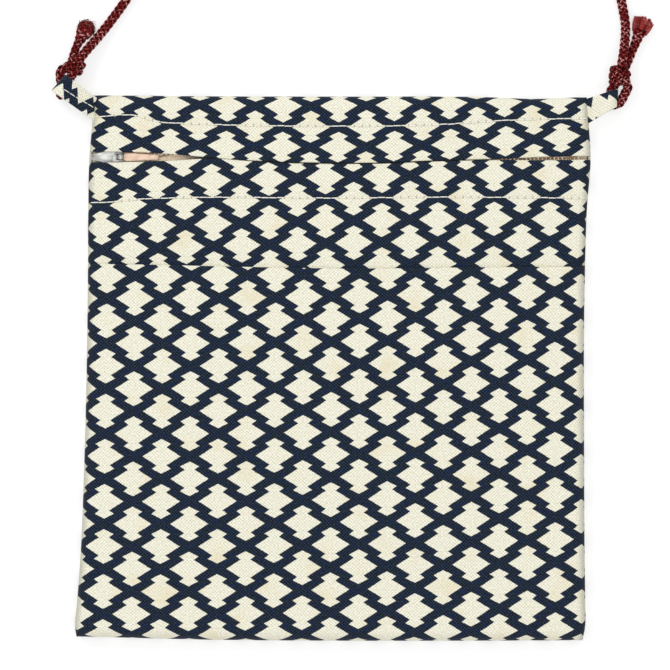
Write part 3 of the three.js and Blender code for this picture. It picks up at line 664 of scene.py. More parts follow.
@dataclass(frozen=True)
class TwistedYarn:
    """Yarn or thread on the map yarn: share of the way round, and millimetres along."""

    name: str
    colour: Colour
    # painted shade on the strand's sides, where strands meet
    shade: Colour
    # painted highlight along the strand's crest
    painted_gleam: Colour
    twist: float = 1.3
    roughness: float = 0.5
    specular: float = 0.5
    painted_gleam_share: float = 0.85
    roundness: float = 1.0          # how much darker the painted shade on the strand's sides is than its crest
    fibre_scale: float = 1500.0
    patch_scale: float = 330.0
    crest_place: float = 0.25       # share of the way round where the strand stands highest
    blend: Pair = (0.1, 0.8)        # where the shade starts to turn to the colour, and has turned
    shine_blend: Pair = (0.84, 1.14)
    fibre_shares: Pair = (0.7, 0.8)     # in the colour and in the shine
    ply_shares: Pair = (0.08, 0.5)      # in the colour and in the relief
    fibre_roughness: float = 0.2
    relief: float = 0.00006
    relief_strength: float = 0.7

    def build(self) -> bpy.types.Material:
        """The material: painted shade where strands meet, and a painted highlight along each strand's crest.
        """
        graph = Graph(self.name)
        around, along, _ = graph.pattern("yarn")
        crest = 1.0 - abs(around - self.crest_place) * (4.0 * self.roundness)
        ply = ((around * 2 + along * (1 / self.twist)) * TURN).sine()
        here = graph.here()
        fibre = graph.noise(here, self.fibre_scale)
        patch = graph.noise(here, self.patch_scale)
        lit = crest + (fibre - 0.5) * self.fibre_shares[0] + ply * self.ply_shares[0]
        colour = graph.mix(self.shade, self.colour, lit.step(*self.blend))
        # painted highlight along the crest
        shine = (crest + (fibre - 0.5) * self.fibre_shares[1] + patch - 0.5).step(*self.shine_blend)
        return graph.surface({
            "Base Color": graph.mix(colour, self.painted_gleam, shine * self.painted_gleam_share),
            "Roughness": self.roughness + fibre * self.fibre_roughness,
            "Specular IOR Level": self.specular,
            "Normal": graph.bump(ply * self.ply_shares[1] + fibre, self.relief, self.relief_strength),
        })


@dataclass(frozen=True)
class CastMetal:
    """Plated or bare metal, with fine scratches and dull patches."""

    name: str
    colour: Colour
    shade: Colour
    roughness: float = 0.3
    metallic: float = 0.9
    patch_scale: float = 300.0
    scratch_scale: float = 2400.0
    scratch: Pair = (0.00003, 0.4)      # depth and strength
    blend: Pair = (0.4, 0.72)           # patch noise where the colour starts to turn, and has turned
    dulling: Trio = (0.4, 0.7, 0.2)     # the same for the roughness, and what it adds

    def build(self) -> bpy.types.Material:
        """The material."""
        graph = Graph(self.name)
        here = graph.here()
        patch = graph.noise(here, self.patch_scale, 3.0)
        scratch = graph.noise(here, self.scratch_scale)
        start, full, added = self.dulling
        return graph.surface({
            "Base Color": graph.mix(self.colour, self.shade, patch.step(*self.blend)),
            "Metallic": self.metallic,
            "Roughness": self.roughness + patch.step(start, full) * added,
            "Normal": graph.bump(scratch, *self.scratch),
        })


@dataclass(frozen=True)
class PullLeather:
    """Beige leather of the zip's pull, with fine grain and a darker patch here and there."""

    name: str = "zip_pull_leather"
    colour: Colour = linear(236, 208, 186)
    shade: Colour = linear(206, 168, 142)
    grain_scale: float = 1900.0
    patch_scale: float = 260.0
    mottle: Pair = (0.8, 0.4)       # shares of the patches and of the grain in the colour
    blend: Pair = (0.5, 0.85)
    roughness: Pair = (0.55, 0.2)   # least, and what the grain adds
    relief: Pair = (0.00008, 0.6)   # depth and strength

    def build(self) -> bpy.types.Material:
        """The material."""
        graph = Graph(self.name)
        here = graph.here()
        grain = graph.noise(here, self.grain_scale, 3.0)
        patch = graph.noise(here, self.patch_scale)
        mottled = (patch * self.mottle[0] + grain * self.mottle[1]).step(*self.blend)
        return graph.surface({
            "Base Color": graph.mix(self.colour, self.shade, mottled),
            "Roughness": grain * self.roughness[1] + self.roughness[0],
            "Normal": graph.bump(grain, *self.relief),
        })


@dataclass(frozen=True)
class PaleFloor:
    """Plain pale surface under the pouch, lit a little from below like a light table."""

    name: str = "pale_floor"
    light: Colour = linear(176, 176, 176)
    dark: Colour = linear(173, 173, 173)
    grain_scale: float = 40.0
    roughness: float = 0.9
    specular: float = 0.1
    glow: float = 0.6

    def build(self) -> bpy.types.Material:
        """The material."""
        graph = Graph(self.name)
        grain = graph.noise(graph.here(), self.grain_scale, 3.0)
        return graph.surface({
            "Base Color": graph.mix(self.light, self.dark, grain),
            "Roughness": self.roughness,
            "Specular IOR Level": self.specular,
            "Emission Color": (1.0, 1.0, 1.0, 1.0),
            "Emission Strength": self.glow,
        })


class Finishes:
    """All the materials of the pouch, each made once."""

    def __init__(self) -> None:
        """Builds the materials."""
        self.printed = PrintedCotton().build()
        self.lining = WovenCloth("lining_cotton", linear(224, 219, 200), linear(196, 188, 164)).build()
        # the tape carries a painted shadow of the lip in the slit's narrow middle
        self.tape = WovenCloth("zip_tape", linear(250, 234, 212), linear(220, 194, 160),
                               0.7, 0.8, 0.9).build()
        # yarns: shade is painted on each strand's sides, and the third colour as a highlight on its crests
        self.thread = TwistedYarn("white_thread", linear(238, 236, 222), linear(206, 202, 184),
                                  linear(252, 250, 240), 0.5, 0.6, 0.3, 0.5, 0.3).build()
        self.cord = TwistedYarn("cord_yarn", linear(102, 13, 14), linear(14, 0, 0),
                                linear(236, 174, 170), 1.2, 0.7, 0.1, 0.68).build()
        self.fray = TwistedYarn("frayed_yarn", linear(164, 54, 52), linear(96, 16, 18),
                                linear(220, 142, 138), 1.2, 0.6, 0.2, 0.6, 0.15).build()
        self.brass = CastMetal("tooth_brass", linear(242, 224, 200), linear(160, 130, 98), 0.45, 0.2).build()
        self.nickel = CastMetal("slider_nickel", linear(190, 190, 186), linear(140, 140, 137), 0.34).build()
        self.leather = PullLeather().build()
        self.floor = PaleFloor().build()


# The pouch's own form

class PrintZone(Enum):
    """Stretches of cloth whose print lies differently."""

    POCKET = "pocket"
    PANEL = "panel"
    BAND = "band"
    BACK = "back"


@dataclass(frozen=True)
class PrintLattice:
    """Where the print's cells lie on one stretch of cloth.

    A point's place from the origin, less a bow that grows with the square of its distance across and a skew,
    is so many steps across plus so many steps along. Lengths are metres. level is the height at which the
    skew is nought.
    """

    origin: Pair
    across: Pair
    along: Pair
    bow: Pair
    skew: Pair
    level: float
    reach: float = 0.1
    rise: float = 0.02

    def at(self, x: Array, y: Array) -> Array:
        """Cells across and along at each point.

        Args:
            x: the points' places across.
            y: the points' places along.
        Returns:
            The two counts of cells, in a last axis of two.
        """
        wide = x / self.reach
        tall = (self.level - y) / self.rise
        aside = x - self.origin[0] - self.bow[0] * wide**2 - self.skew[0] * wide * tall
        upward = y - self.origin[1] - self.bow[1] * wide**2 - self.skew[1] * wide**3
        area = self.across[0] * self.along[1] - self.across[1] * self.along[0]
        cells = (aside * self.along[1] - upward * self.along[0],
                 upward * self.across[0] - aside * self.across[1])
        return np.stack(cells, axis=-1) / area


POCKET_PRINT = PrintLattice((-0.001612, -0.03854), (0.02246, 0.00042), (0.00009, 0.01801),
                            (-0.00051, 0.00073), (0.00016, -0.00040), -0.03788)
PANEL_PRINT = PrintLattice((-0.003784, 0.05460), (0.02239, 0.00048), (-0.00019, 0.01772),
                           (-0.00002, -0.00111), (-0.00065, -0.00032), 0.05005)
PANEL_TOP_PRINT = PrintLattice((-0.003484, 0.05452), (0.02255, 0.00055), (-0.00041, 0.01751),
                               (-0.00042, -0.00109), (-0.00078, -0.00035), 0.07112)
BAND_PRINT = PrintLattice((0.001280, 0.08416), (0.02239, 0.00017), (0.00053, 0.01588),
                          (-0.00022, 0.00415), (0.00002, -0.00008), 0.08705)
BAND_TOP_PRINT = PrintLattice((0.001396, 0.08370), (0.02220, 0.00026), (0.00013, 0.01713),
                              (-0.00081, 0.00325), (-0.00001, -0.00099), 0.09992)
STILL: Pair = (0.0, 0.0)
BACK_PRINT = PrintLattice((0.0012, -0.0021), (0.02236, 0.0), (0.0, 0.0180), STILL, STILL, 0.0)

# Each zone's fits below and above its topstitched line, and the heights between which they mix.
PRINTS = {
    PrintZone.POCKET: (POCKET_PRINT, POCKET_PRINT, 0.0, 1.0),
    PrintZone.PANEL: (PANEL_PRINT, PANEL_TOP_PRINT, 0.058, 0.068),
    PrintZone.BAND: (BAND_PRINT, BAND_TOP_PRINT, 0.090, 0.098),
    PrintZone.BACK: (BACK_PRINT, BACK_PRINT, 0.0, 1.0),
}


def print_cells(zone: PrintZone, x: Array, y: Array) -> Array:
    """Cells of the print on one stretch of cloth: a smooth mix, over height, of the zone's two fits.

    Args:
        zone: the stretch of cloth.
        x: places across, laid flat.
        y: places along, laid flat.
    Returns:
        The two counts of cells, in a last axis of two.
    """
    low, high, start, stop = PRINTS[zone]
    return lerp(low.at(x, y), high.at(x, y), ease(start, stop, y)[..., None])


def turned_print(origin: Pair, degrees: float) -> PrintLattice:
    """The plain print, turned about a point where a figure stands."""
    cos, sin = np.cos(np.radians(degrees)), np.sin(np.radians(degrees))
    width, height = BACK_PRINT.across[0], BACK_PRINT.along[1]
    return PrintLattice(origin, (width * cos, width * sin), (-height * sin, height * cos), STILL, STILL, 0.0)


@dataclass(frozen=True)
class StitchedLine:
    """A topstitched line across the front, as height over place across."""

    line: SmoothTable
    pitch: float = 0.0031

    def map_at(self, x: Array, y: Array) -> Array:
        """Stitches along and millimetres off the line, in a last axis of two."""
        return np.stack([x / self.pitch, (y - self.line.at(x)) * MILLI], axis=-1)


BAND_STITCHES = StitchedLine(SmoothTable(
    (-0.0975, -0.0942, -0.0808, -0.0700, -0.0612, -0.0472, 0.0012, 0.0284, 0.0412, 0.0500, 0.0656,
     0.0916, 0.1010),
    (0.0962, 0.0964, 0.0970, 0.0943, 0.0937, 0.0932, 0.0926, 0.0928, 0.0932, 0.0937, 0.0948,
     0.0956, 0.0956)))
PANEL_STITCHES = StitchedLine(SmoothTable(
    (-0.0995, -0.0986, -0.0857, -0.0780, -0.0640, -0.0020, 0.0464, 0.0900, 0.1010),
    (0.0620, 0.0620, 0.0626, 0.0634, 0.0639, 0.0638, 0.0642, 0.0639, 0.0638)))


@dataclass(frozen=True)
class Ripples:
    """Soft waves of the cloth, with the puckers and the groove at a topstitched line. Lengths are metres."""

    across: tuple[float, ...] = (0.00016, 0.067, 0.35, 0.15)    # height, length, wander, its length
    along: tuple[float, ...] = (0.00013, 0.052, 0.3, 0.11)
    along_start: float = 1.1
    slanted: Trio = (0.00007, 0.023, 0.6)       # height, length, slope
    slanted_start: float = 2.0
    pucker: Trio = (0.00011, 0.0093, 0.0038)    # height, length, reach from the line
    pucker_wander: Pair = (1.7, 0.041)
    groove: Pair = (0.00022, 0.0011)            # depth, reach

    def at(self, x: Array, y: Array) -> Array:
        """Height added to the cloth: three slow sines, and puckers and a groove at each stitched line."""
        height, length, wander, reach = self.across
        wave = height * np.sin(TURN * (x / length + wander * np.sin(TURN * y / reach)))
        height, length, wander, reach = self.along
        turns = y / length + wander * np.sin(TURN * x / reach)
        wave = wave + height * np.sin(TURN * turns + self.along_start)
        height, length, slope = self.slanted
        wave = wave + height * np.sin(TURN * (x + slope * y) / length + self.slanted_start)
        height, length, near = self.pucker
        wander, reach = self.pucker_wander
        pucker = height * np.sin(TURN * x / length + wander * np.sin(TURN * x / reach))
        depth, reach = self.groove
        for stitches in (BAND_STITCHES, PANEL_STITCHES):
            off = y - stitches.line.at(x)
            wave = wave + pucker * np.exp(-((off / near) ** 2))
            wave = wave - depth * np.exp(-((off / reach) ** 2))
        return wave


@dataclass
class Lines:
    """Lines over a panel: its rows from its lower edge upwards, or its columns from left to right."""

    share: Array        # of the way between the two lines where the flat starts and ends
    end: Array          # -1 or 1 in the roll at either end, 0 between them
    cos: Array          # how far out and how high the roll is there
    rise: Array
    lean: Array         # angle of the roll from the flat
    shift: Array        # how far a folded edge bulges
    fold: Array         # depth through the fold, in walls


UP_SHARES = (0.0, 0.02, 0.075, 0.15, 0.33, 0.65, 0.8, 0.885, 0.955, 1.0)
END_SHARES = (0.0, 0.25, 0.5, 0.8, 0.93, 1.0)
SLIT_SHARES = (0.0, 0.07, 0.15, 0.23, 0.35, 0.5, 0.58, 0.7, 0.82, 0.93, 1.0)


@dataclass(frozen=True)
class PouchForm:
    """Outline and height of the pouch, with the same sizes and tables as its solids."""

    width: float = 0.1992
    height: float = 0.218
    top_edge: float = 0.1047
    cloth: float = 0.0012
    gap: float = 0.0003
    seam_height: float = 0.0035
    edge_roll: float = 0.0045
    front_rise: float = 0.0052
    puff: float = 0.0034
    puff_power: float = 2.4
    band_depth: float = 0.0246
    slit_gap: float = 0.004
    pocket_depth: float = 0.1508
    pocket_nick: float = 0.0026
    roll_stretch: float = 1.08      # length of the roll's arc beside a circle's of its radius
    roll_steps: int = 9
    fold_degrees: Trio = (82.0, 55.0, 28.0)
    inner_columns: int = 132
    left: SmoothTable = SmoothTable(
        UP_SHARES, (-1.036, -1.044, -1.036, -1.024, -1.008, -0.994, -0.992, -0.988, -0.975, -0.968))
    right: SmoothTable = SmoothTable(
        UP_SHARES, (0.994, 1.004, 1.006, 1.004, 1.002, 1.004, 1.014, 1.028, 1.019, 1.012))
    end_lift: SmoothTable = SmoothTable(END_SHARES, (0.36, 0.09, 0.0, 0.0, 0.02, 0.04))
    end_dip: SmoothTable = SmoothTable(END_SHARES, (-0.09, 0.0, 0.02, 0.06, 0.22, 0.09))
    slit_drop: SmoothTable = SmoothTable(
        SLIT_SHARES, (0.911, 0.917, 0.949, 1.004, 1.065, 1.089, 1.087, 1.049, 1.026, 0.992, 0.976))
    slit_open: SmoothTable = SmoothTable(
        SLIT_SHARES, (1.02, 0.94, 0.62, 0.1, 0.1, 0.1, 0.1, 0.1, 0.1, 0.32, 0.37))
    mouth_sag: SmoothTable = SmoothTable(
        (0.0, 0.07, 0.28, 0.5, 0.8, 1.0), (0.0, 0.001, 0.007, 0.012, 0.009, 0.007))
    ripples: Ripples = Ripples()

    @property
    def bottom_edge(self) -> float:
        """Height of the bottom edge."""
        return self.top_edge - self.height

    @property
    def layer(self) -> float:
        """One wall of cloth and the gap to the next."""
        return self.cloth + self.gap

    def up_share(self, y: Array) -> Array:
        """Share of the way up the pouch."""
        return np.clip((y - self.bottom_edge) / self.height, 0.0, 1.0)

    def left_edge(self, y: Array) -> Array:
        """Left outline at a height."""
        return self.width / 2 * self.left.at(self.up_share(y))

    def right_edge(self, y: Array) -> Array:
        """Right outline at a height."""
        return self.width / 2 * self.right.at(self.up_share(y))

    def bottom_line(self, across: Array) -> Array:
        """Where the bottom roll ends and the flat begins."""
        return self.bottom_edge + self.edge_roll * (1 + self.end_lift.at(across))

    def top_line(self, across: Array) -> Array:
        """Where the flat ends and the top roll begins."""
        return self.top_edge - self.edge_roll * (1 + self.end_dip.at(across))

    def lip_line(self, across: Array) -> Array:
        """Free edge of the top band."""
        return self.top_edge - self.band_depth * self.slit_drop.at(across)

    def opening(self, across: Array) -> Array:
        """Opening of the slit."""
        return self.slit_gap * self.slit_open.at(across)

    def front_line(self, across: Array) -> Array:
        """Free edge of the front panel."""
        return self.lip_line(across) - self.opening(across)

    def zip_line(self, across: Array) -> Array:
        """Middle of the zip."""
        return self.lip_line(across) - self.opening(across) / 2

    def mouth_line(self, across: Array) -> Array:
        """Free edge of the pocket."""
        return self.bottom_edge + self.pocket_depth * (1 - self.mouth_sag.at(across))

    def puff_at(self, x: Array, y: Array) -> Array:
        """Rise of the middle: each way it falls as 1 less the distance from the middle to a power."""
        across = (x - self.left_edge(y)) / (self.right_edge(y) - self.left_edge(y))
        sideways = 1 - np.abs(np.clip(2 * across - 1, -1, 1)) ** self.puff_power
        upwards = 1 - np.abs(2 * self.up_share(y) - 1) ** self.puff_power
        return self.puff * sideways * upwards

    def from_side(self, x: Array, y: Array) -> Array:
        """How far points lie inside the nearer side of the outline."""
        return np.minimum(x - self.left_edge(y), self.right_edge(y) - x)

    def rolled(self, x: Array, y: Array, offset: Array, rise: Array) -> Array:
        """Height of the front at a depth under the pocket's face, with the share that the rolls leave."""
        stand = self.front_rise - offset + self.puff_at(x, y) + self.ripples.at(x, y)
        return self.seam_height + self.gap / 2 + stand * rise

    def face_height(self, x: Array, y: Array, offset: float) -> Array:
        """Height of the front at a depth under the pocket's face, the rolls at its sides counted in."""
        cos = np.clip((self.edge_roll - self.from_side(x, y)) / self.edge_roll, 0.0, 1.0)
        return self.rolled(x, y, offset, np.sqrt(1 - cos**2))

    def lines(self, shares: Array, rolled_low: bool, rolled_high: bool) -> Lines:
        """Rows or columns: even or chosen steps, with a roll or a rounded fold at each end.

        Args:
            shares: the places of the inner ones.
            rolled_low: the lower end rolls to the seam; otherwise it is a folded free edge.
            rolled_high: the same for the upper end.
        Returns:
            The lines from the lower end to the upper one.
        """
        angle = np.radians(np.linspace(0, 90, self.roll_steps, endpoint=False))
        turn = np.radians(self.fold_degrees)
        parts = []
        for end, rolled in ((-1, rolled_low), (1, rolled_high)):
            if rolled:
                part = [end, np.cos(angle), np.sin(angle), np.pi / 2 - angle, 0, 0]
            else:
                part = [0, 0, 1, 0, end * self.cloth / 2 * np.sin(turn), (1 - np.cos(turn)) / 2]
            part = np.broadcast_arrays(0 if end < 0 else 1, *part)
            parts.append([values if end < 0 else values[::-1] for values in part])
        inner = np.broadcast_arrays(shares, 0, 0, 1, 0, 0, 0)
        return Lines(*(np.concatenate(group).astype(float) for group in zip(parts[0], inner, parts[1])))

    def columns(self) -> Lines:
        """The columns of every panel: a roll at each side, and even steps between them."""
        return self.lines(np.linspace(0, 1, self.inner_columns), True, True)

    def sheet(self, rows: Lines, low: Line, high: Line, zone: PrintZone, depth: Line, inset: Line,
              thickness: float, stitches: StitchedLine | None = None, back: bool = False) -> Form:
        """A wall of cloth as one closed form: its upper side, its folds and its lower side.

        Place across = the column's share between the two rolls, less or plus the roll's radius times a
        cosine. Place along = the row's share between two lines, with the same roll at the ends. Height = the
        seam plus the rise, puff and ripple times the sine of both rolls.

        Args:
            rows: the rows across the cloth.
            low: the line where the inner rows start.
            high: the line where they end.
            zone: the stretch of cloth, for its print.
            depth: depth of the cloth's upper side under the pocket's face, over place along.
            inset: how far its sides are pulled in, over place along.
            thickness: the wall.
            stitches: the topstitched line on it.
            back: the pouch's back wall, which hangs from the seam down to the surface.
        Returns:
            The form, with its outer side in finish 0 and its inner side in finish 1.
        """
        columns = self.columns()
        across = columns.share[None, :]
        rise = rows.rise[:, None] * columns.rise[None, :]
        base = lerp(low(across), high(across), rows.share[:, None]) + rows.shift[:, None]
        sides = []
        for outer in (not back, back):
            offset = thickness * (rows.fold if outer else 1 - rows.fold)[:, None]
            reach = self.edge_roll - inset(base) - offset
            y = base + (rows.end * rows.cos)[:, None] * reach
            x = lerp(self.left_edge(y) + self.edge_roll, self.right_edge(y) - self.edge_roll, across)
            x = x + (columns.end * columns.cos)[None, :] * reach
            if back:
                seam = self.seam_height - self.gap / 2
                z = seam - (seam - offset) * rise
            else:
                z = self.rolled(x, y, depth(base) + offset, rise)
            sides.append(np.stack([x, y, z], axis=-1))
        arc = self.edge_roll * self.roll_stretch
        flat_y = base + (rows.end * rows.lean)[:, None] * arc
        flat_x = lerp(self.left_edge(base) + self.edge_roll, self.right_edge(base) - self.edge_roll, across)
        flat_x = flat_x + (columns.end * columns.lean)[None, :] * arc
        inside = self.from_side(sides[0][..., 0], sides[0][..., 1])
        maps = {
            "print": print_cells(zone, flat_x, flat_y),
            "cloth": np.stack([flat_x, flat_y], axis=-1) * MILLI,
            "seam": stitches.map_at(flat_x, flat_y) if stitches else np.full((*flat_x.shape, 2), FAR),
            "edge": np.stack([inside, inside], axis=-1) * MILLI,
        }
        return closed_sheet(sides[0], sides[1], maps, back)


def closed_sheet(upper: Array, lower: Array, maps: dict[str, Array], back: bool) -> Form:
    """Joins two grids of points into one closed sheet, with its four edges shut.

    Args:
        upper: (rows, columns, 3) points of the upper side.
        lower: the same for the lower side.
        maps: name to (rows, columns, 2) pattern coordinates, the same on both sides.
        back: the outer side is the lower one.
    Returns:
        The form, with its outer side in finish 0 and its inner side in finish 1.
    """
    rows, columns, _ = upper.shape
    loop = np.concatenate([upper, lower[::-1]])
    faces = grid_faces(2 * rows, columns, wrap_rows=True)
    on_lower = (faces[:, 0] // columns >= rows) & (faces[:, 2] // columns >= rows)
    inner = on_lower != back
    step = np.arange(rows - 1)
    first = [step, step + 1, 2 * rows - 2 - step, 2 * rows - 1 - step]
    left = np.stack(first, axis=-1) * columns
    right = left[:, ::-1] + columns - 1
    flat = {key: np.concatenate([value, value[::-1]]).reshape(-1, 2) for key, value in maps.items()}
    patches = []
    for group, finish in ((faces[~inner], 0), (faces[inner], 1), (np.vstack([left, right]), 0)):
        patches.append(Patch(group, {key: value[group] for key, value in flat.items()}, finish))
    return Form(loop.reshape(-1, 3), patches)


def level(value: float) -> Line:
    """A line that has the same value everywhere."""
    return lambda place: np.full(np.shape(place), value)


def read(line: Line, place: float) -> float:
    """A line's value at one place."""
    return float(line(np.array([place]))[0])


def shifted(line: Line, offset: float) -> Line:
    """A line moved along the pouch by an offset."""
    return lambda across: line(across) + offset


@dataclass
class Body:
    """Back panel, front panel, slip pocket and top band, with their topstitching."""

    form: PouchForm
    finishes: Finishes
    back_rows: int = 110
    pocket_rows: int = 104
    band_rows: int = 26
    front_rows: tuple[int, int] = (24, 50)      # behind the pocket, and from just under its mouth
    front_step: float = 0.74                    # share of the way up where the second ones start
    stitch_ends: Pair = (-0.0965, 0.0995)
    stitch_length: float = 0.00306
    stitch_radius: float = 0.0002
    stitch_flatness: float = 1.15
    stitch_arch: float = 0.0005
    stitch_sink: float = 0.0002
    stitch_stray: Pair = (0.00008, 2.4)         # off the line, and radians from stitch to stitch

    def build(self) -> None:
        """Builds the four walls and the stitches."""
        finishes = [self.finishes.printed, self.finishes.lining]
        for name, node, wall in (("back_cloth", "back_panel", self._back()),
                                 ("front_cloth", "front_panel", self._front()),
                                 ("pocket_cloth", "front_pocket", self._pocket()),
                                 ("band_cloth", "top_band", self._band())):
            make_piece(name, wall, finishes, node)
        self._stitches("band_stitching", BAND_STITCHES)
        self._stitches("panel_stitching", PANEL_STITCHES)

    def _back(self) -> Form:
        """Back panel, flat on the surface."""
        form = self.form
        rows = form.lines(np.linspace(0, 1, self.back_rows), True, True)
        return form.sheet(rows, form.bottom_line, form.top_line, PrintZone.BACK, level(0.0), level(0.0),
                          form.cloth, back=True)

    def _front(self) -> Form:
        """Front panel, which steps out to the pouch's outline just above the pocket's mouth."""
        form = self.form
        middle = read(form.mouth_line, 0.5)
        few, many = self.front_rows
        shares = np.concatenate([np.linspace(0, self.front_step, few, endpoint=False),
                                 np.linspace(self.front_step, 1, many)])

        def inset(y: Array) -> Array:
            """Pulled in by a layer under the pocket, and out to the edge above it."""
            return form.layer * (1 - ease(form.gap, form.gap + form.pocket_nick, y - middle))

        return form.sheet(form.lines(shares, True, False), form.bottom_line,
                          shifted(form.front_line, -form.cloth / 2), PrintZone.PANEL,
                          level(form.layer), inset, form.cloth, PANEL_STITCHES)

    def _pocket(self) -> Form:
        """Slip pocket, from the bottom seam to its folded mouth."""
        form = self.form
        rows = form.lines(np.linspace(0, 1, self.pocket_rows), True, False)
        return form.sheet(rows, form.bottom_line, shifted(form.mouth_line, -form.cloth / 2),
                          PrintZone.POCKET, level(0.0), level(0.0), form.cloth)

    def _band(self) -> Form:
        """Top band, from its folded lip over the zip to the top edge."""
        form = self.form
        rows = form.lines(np.linspace(0, 1, self.band_rows), False, True)
        return form.sheet(rows, shifted(form.lip_line, form.cloth / 2), form.top_line, PrintZone.BAND,
                          level(form.layer), level(0.0), form.cloth, BAND_STITCHES)

    def _stitches(self, name: str, stitches: StitchedLine) -> None:
        """A row of stitches that dip into the cloth at both ends: height = a low arch over each stitch."""
        start, end = self.stitch_ends
        count = np.arange(np.ceil(start / stitches.pitch), np.floor(end / stitches.pitch) + 1)
        share = np.linspace(-0.5, 0.5, 9)
        x = count[:, None] * stitches.pitch + share[None, :] * self.stitch_length
        stray, turn = self.stitch_stray
        y = stitches.line.at(x) + stray * np.sin(count * turn)[:, None]
        arch = self.stitch_arch * np.sqrt(np.clip(1 - (2 * share) ** 2, 0, 1)) - self.stitch_sink
        z = self.form.face_height(x, y, self.form.layer) + arch[None, :]
        radius = self.stitch_radius
        row = tubes(np.stack([x, y, z], axis=-1), radius * self.stitch_flatness, radius, UP, 6)
        make_piece(name, row, [self.finishes.thread])


@dataclass(frozen=True)
class SliderShape:
    """The slider's sizes, in metres or as shares of its length."""

    length: float = 0.0106
    plate: float = 0.0007
    pin_radius: float = 0.00045
    pin_drop: float = 0.00155       # of the pin under the nose's level
    pin_half: float = 0.0016
    eye_radius: float = 0.00128     # of the pull's eye, which turns between the lugs
    stations: tuple[float, ...] = (
        0.0, 0.01, 0.03, 0.07, 0.13, 0.22, 0.32, 0.45, 0.58, 0.7, 0.8, 0.9, 0.96, 1.0)
    half_widths: SmoothTable = SmoothTable(
        (0.0, 0.04, 0.12, 0.28, 0.45, 0.6, 0.85, 0.96, 1.0),
        (0.0005, 0.0013, 0.0019, 0.0023, 0.0029, 0.0031, 0.0030, 0.0027, 0.0022))
    hood_share: float = 0.84
    overhang: float = 0.0007
    crown: float = 0.0020
    crown_rise: Pair = (0.3, 0.5)       # share over which it rises, and the power
    crown_fall: Trio = (0.05, 0.3, 0.4)     # share over which it falls, what is left of it, and the power
    lower_start: float = 0.24
    post: Pair = (0.15, 0.33)
    post_half: float = 0.0012
    lug_start: float = 0.62
    lug_aside: float = 0.0015
    lug_half: float = 0.0004
    lug_foot: Pair = (-0.0006, 0.0003)      # its underside and its top without the arch
    lug_arch: float = 0.0019
    lug_span: Pair = (0.12, 0.76)
    lug_power: float = 0.6

    def form(self, nose: Array, top: float, lower_top: float) -> Form:
        """A hood over the upper plate, a lower plate, the post at the nose, two lugs and the pin.

        Crown of the hood = its height times a power of the way from the nose, and a power of the way to the
        tail. Arch of a lug = its height times a power of a sine over its length.

        Args:
            nose: the slider's own origin: its nose, at the height of the pocket's face.
            top: height of the upper plate's underside there.
            lower_top: height of the lower plate's top.
        Returns:
            The slider without maps.
        """
        share = np.array(self.stations)
        half = self.half_widths.at(share)
        reach, power = self.crown_rise
        crown = self.crown * np.minimum(1.0, share / reach) ** power
        reach, least, power = self.crown_fall
        crown = crown * np.clip((1.0 - share) / reach, least, 1.0) ** power
        hood = rounded_bar(share * self.length - self.overhang, half * self.hood_share, top - self.plate,
                           top + crown, sides=24, squareness=0.75)
        lower = rounded_bar(lerp(self.lower_start, 1.0, share) * self.length, half,
                            lower_top - self.plate, lower_top)
        post = rounded_bar(self.length * np.linspace(*self.post, 5), self.post_half,
                           lower_top - self.plate / 2, top, sides=12)
        pieces = [hood, lower, post]
        lug_share = np.linspace(0, 1, 9)
        start, span = self.lug_span
        arch = self.lug_arch * np.sin(np.pi * (start + lug_share * span)) ** self.lug_power
        end = self.length + self.pin_radius
        lug_x = lerp(self.length * self.lug_start, end + self.eye_radius, lug_share)
        under, over = self.lug_foot
        for side in (-1, 1):
            lug = rounded_bar(lug_x, self.lug_half, top + under, top + over + arch, sides=10)
            lug.vertices[:, 1] += side * self.lug_aside
            pieces.append(lug)
        line = np.array([[[end, y, -self.pin_drop] for y in (-self.pin_half, 0.0, self.pin_half)]])
        pieces.append(tubes(line, self.pin_radius, self.pin_radius, UP, 12).plain())
        return joined(pieces).placed(*np.eye(3), nose)


@dataclass(frozen=True)
class PullShape:
    """The pull's sizes, in metres or as shares of its length."""

    length: float = 0.0150
    stations: tuple[float, ...] = (
        0.0, 0.01, 0.03, 0.07, 0.14, 0.25, 0.4, 0.55, 0.7, 0.82, 0.9, 0.95, 0.98, 1.0)
    half_widths: SmoothTable = SmoothTable(
        (0.0, 0.05, 0.15, 0.5, 0.8, 0.97, 1.0),
        (0.0010, 0.0015, 0.00155, 0.00135, 0.0011, 0.00095, 0.0007))
    thickness: float = 0.0011
    taper: SmoothTable = SmoothTable((0.0, 0.06, 0.94, 1.0), (0.6, 1.0, 1.0, 0.5))
    lift: float = 0.00008           # above the solid's underside
    overlap: float = 0.0001         # how far the leather reaches into the eye
    clearance: float = 0.00025      # round the pin
    eye_half: float = 0.00102
    rivet_place: float = 0.0025
    rivet_radius: float = 0.0005
    rivet_foot: float = 0.0007
    rivet_height: float = 0.00018

    def form(self, slider: SliderShape, low: float) -> Form:
        """A flat tapered leather tab, with a metal eye round the pin and a small rivet.

        The tab's half width and thickness are read from tables over its length. Half width and height of the
        rivet follow a circle.

        Args:
            slider: the slider that it turns on.
            low: height of the solid's underside from the pin.
        Returns:
            The pull along its own x axis from the pin: leather in finish 0, metal in finish 1.
        """
        low = low + self.lift
        share = np.array(self.stations)
        x = lerp(slider.eye_radius - self.overlap, self.length, share)
        top = low + self.thickness * self.taper.at(share)
        tab = rounded_bar(x, self.half_widths.at(share), low, top, squareness=0.6)
        hole = slider.pin_radius + self.clearance
        eye = ring_on_y((slider.eye_radius + hole) / 2, self.eye_half, (slider.eye_radius - hole) / 2)
        dome = np.array([-1.0, -0.92, -0.6, 0.0, 0.6, 0.92, 1.0])
        half = self.rivet_radius * np.sqrt(np.clip(1.02 - dome**2, 0.02, 1))
        top = low + self.thickness + self.rivet_height * (1.1 - dome**2)
        rivet = rounded_bar(self.rivet_place + self.rivet_radius * dome, half, low + self.rivet_foot, top,
                            sides=16, squareness=1.0)
        return joined([tab, eye.finished(1), rivet.finished(1)])


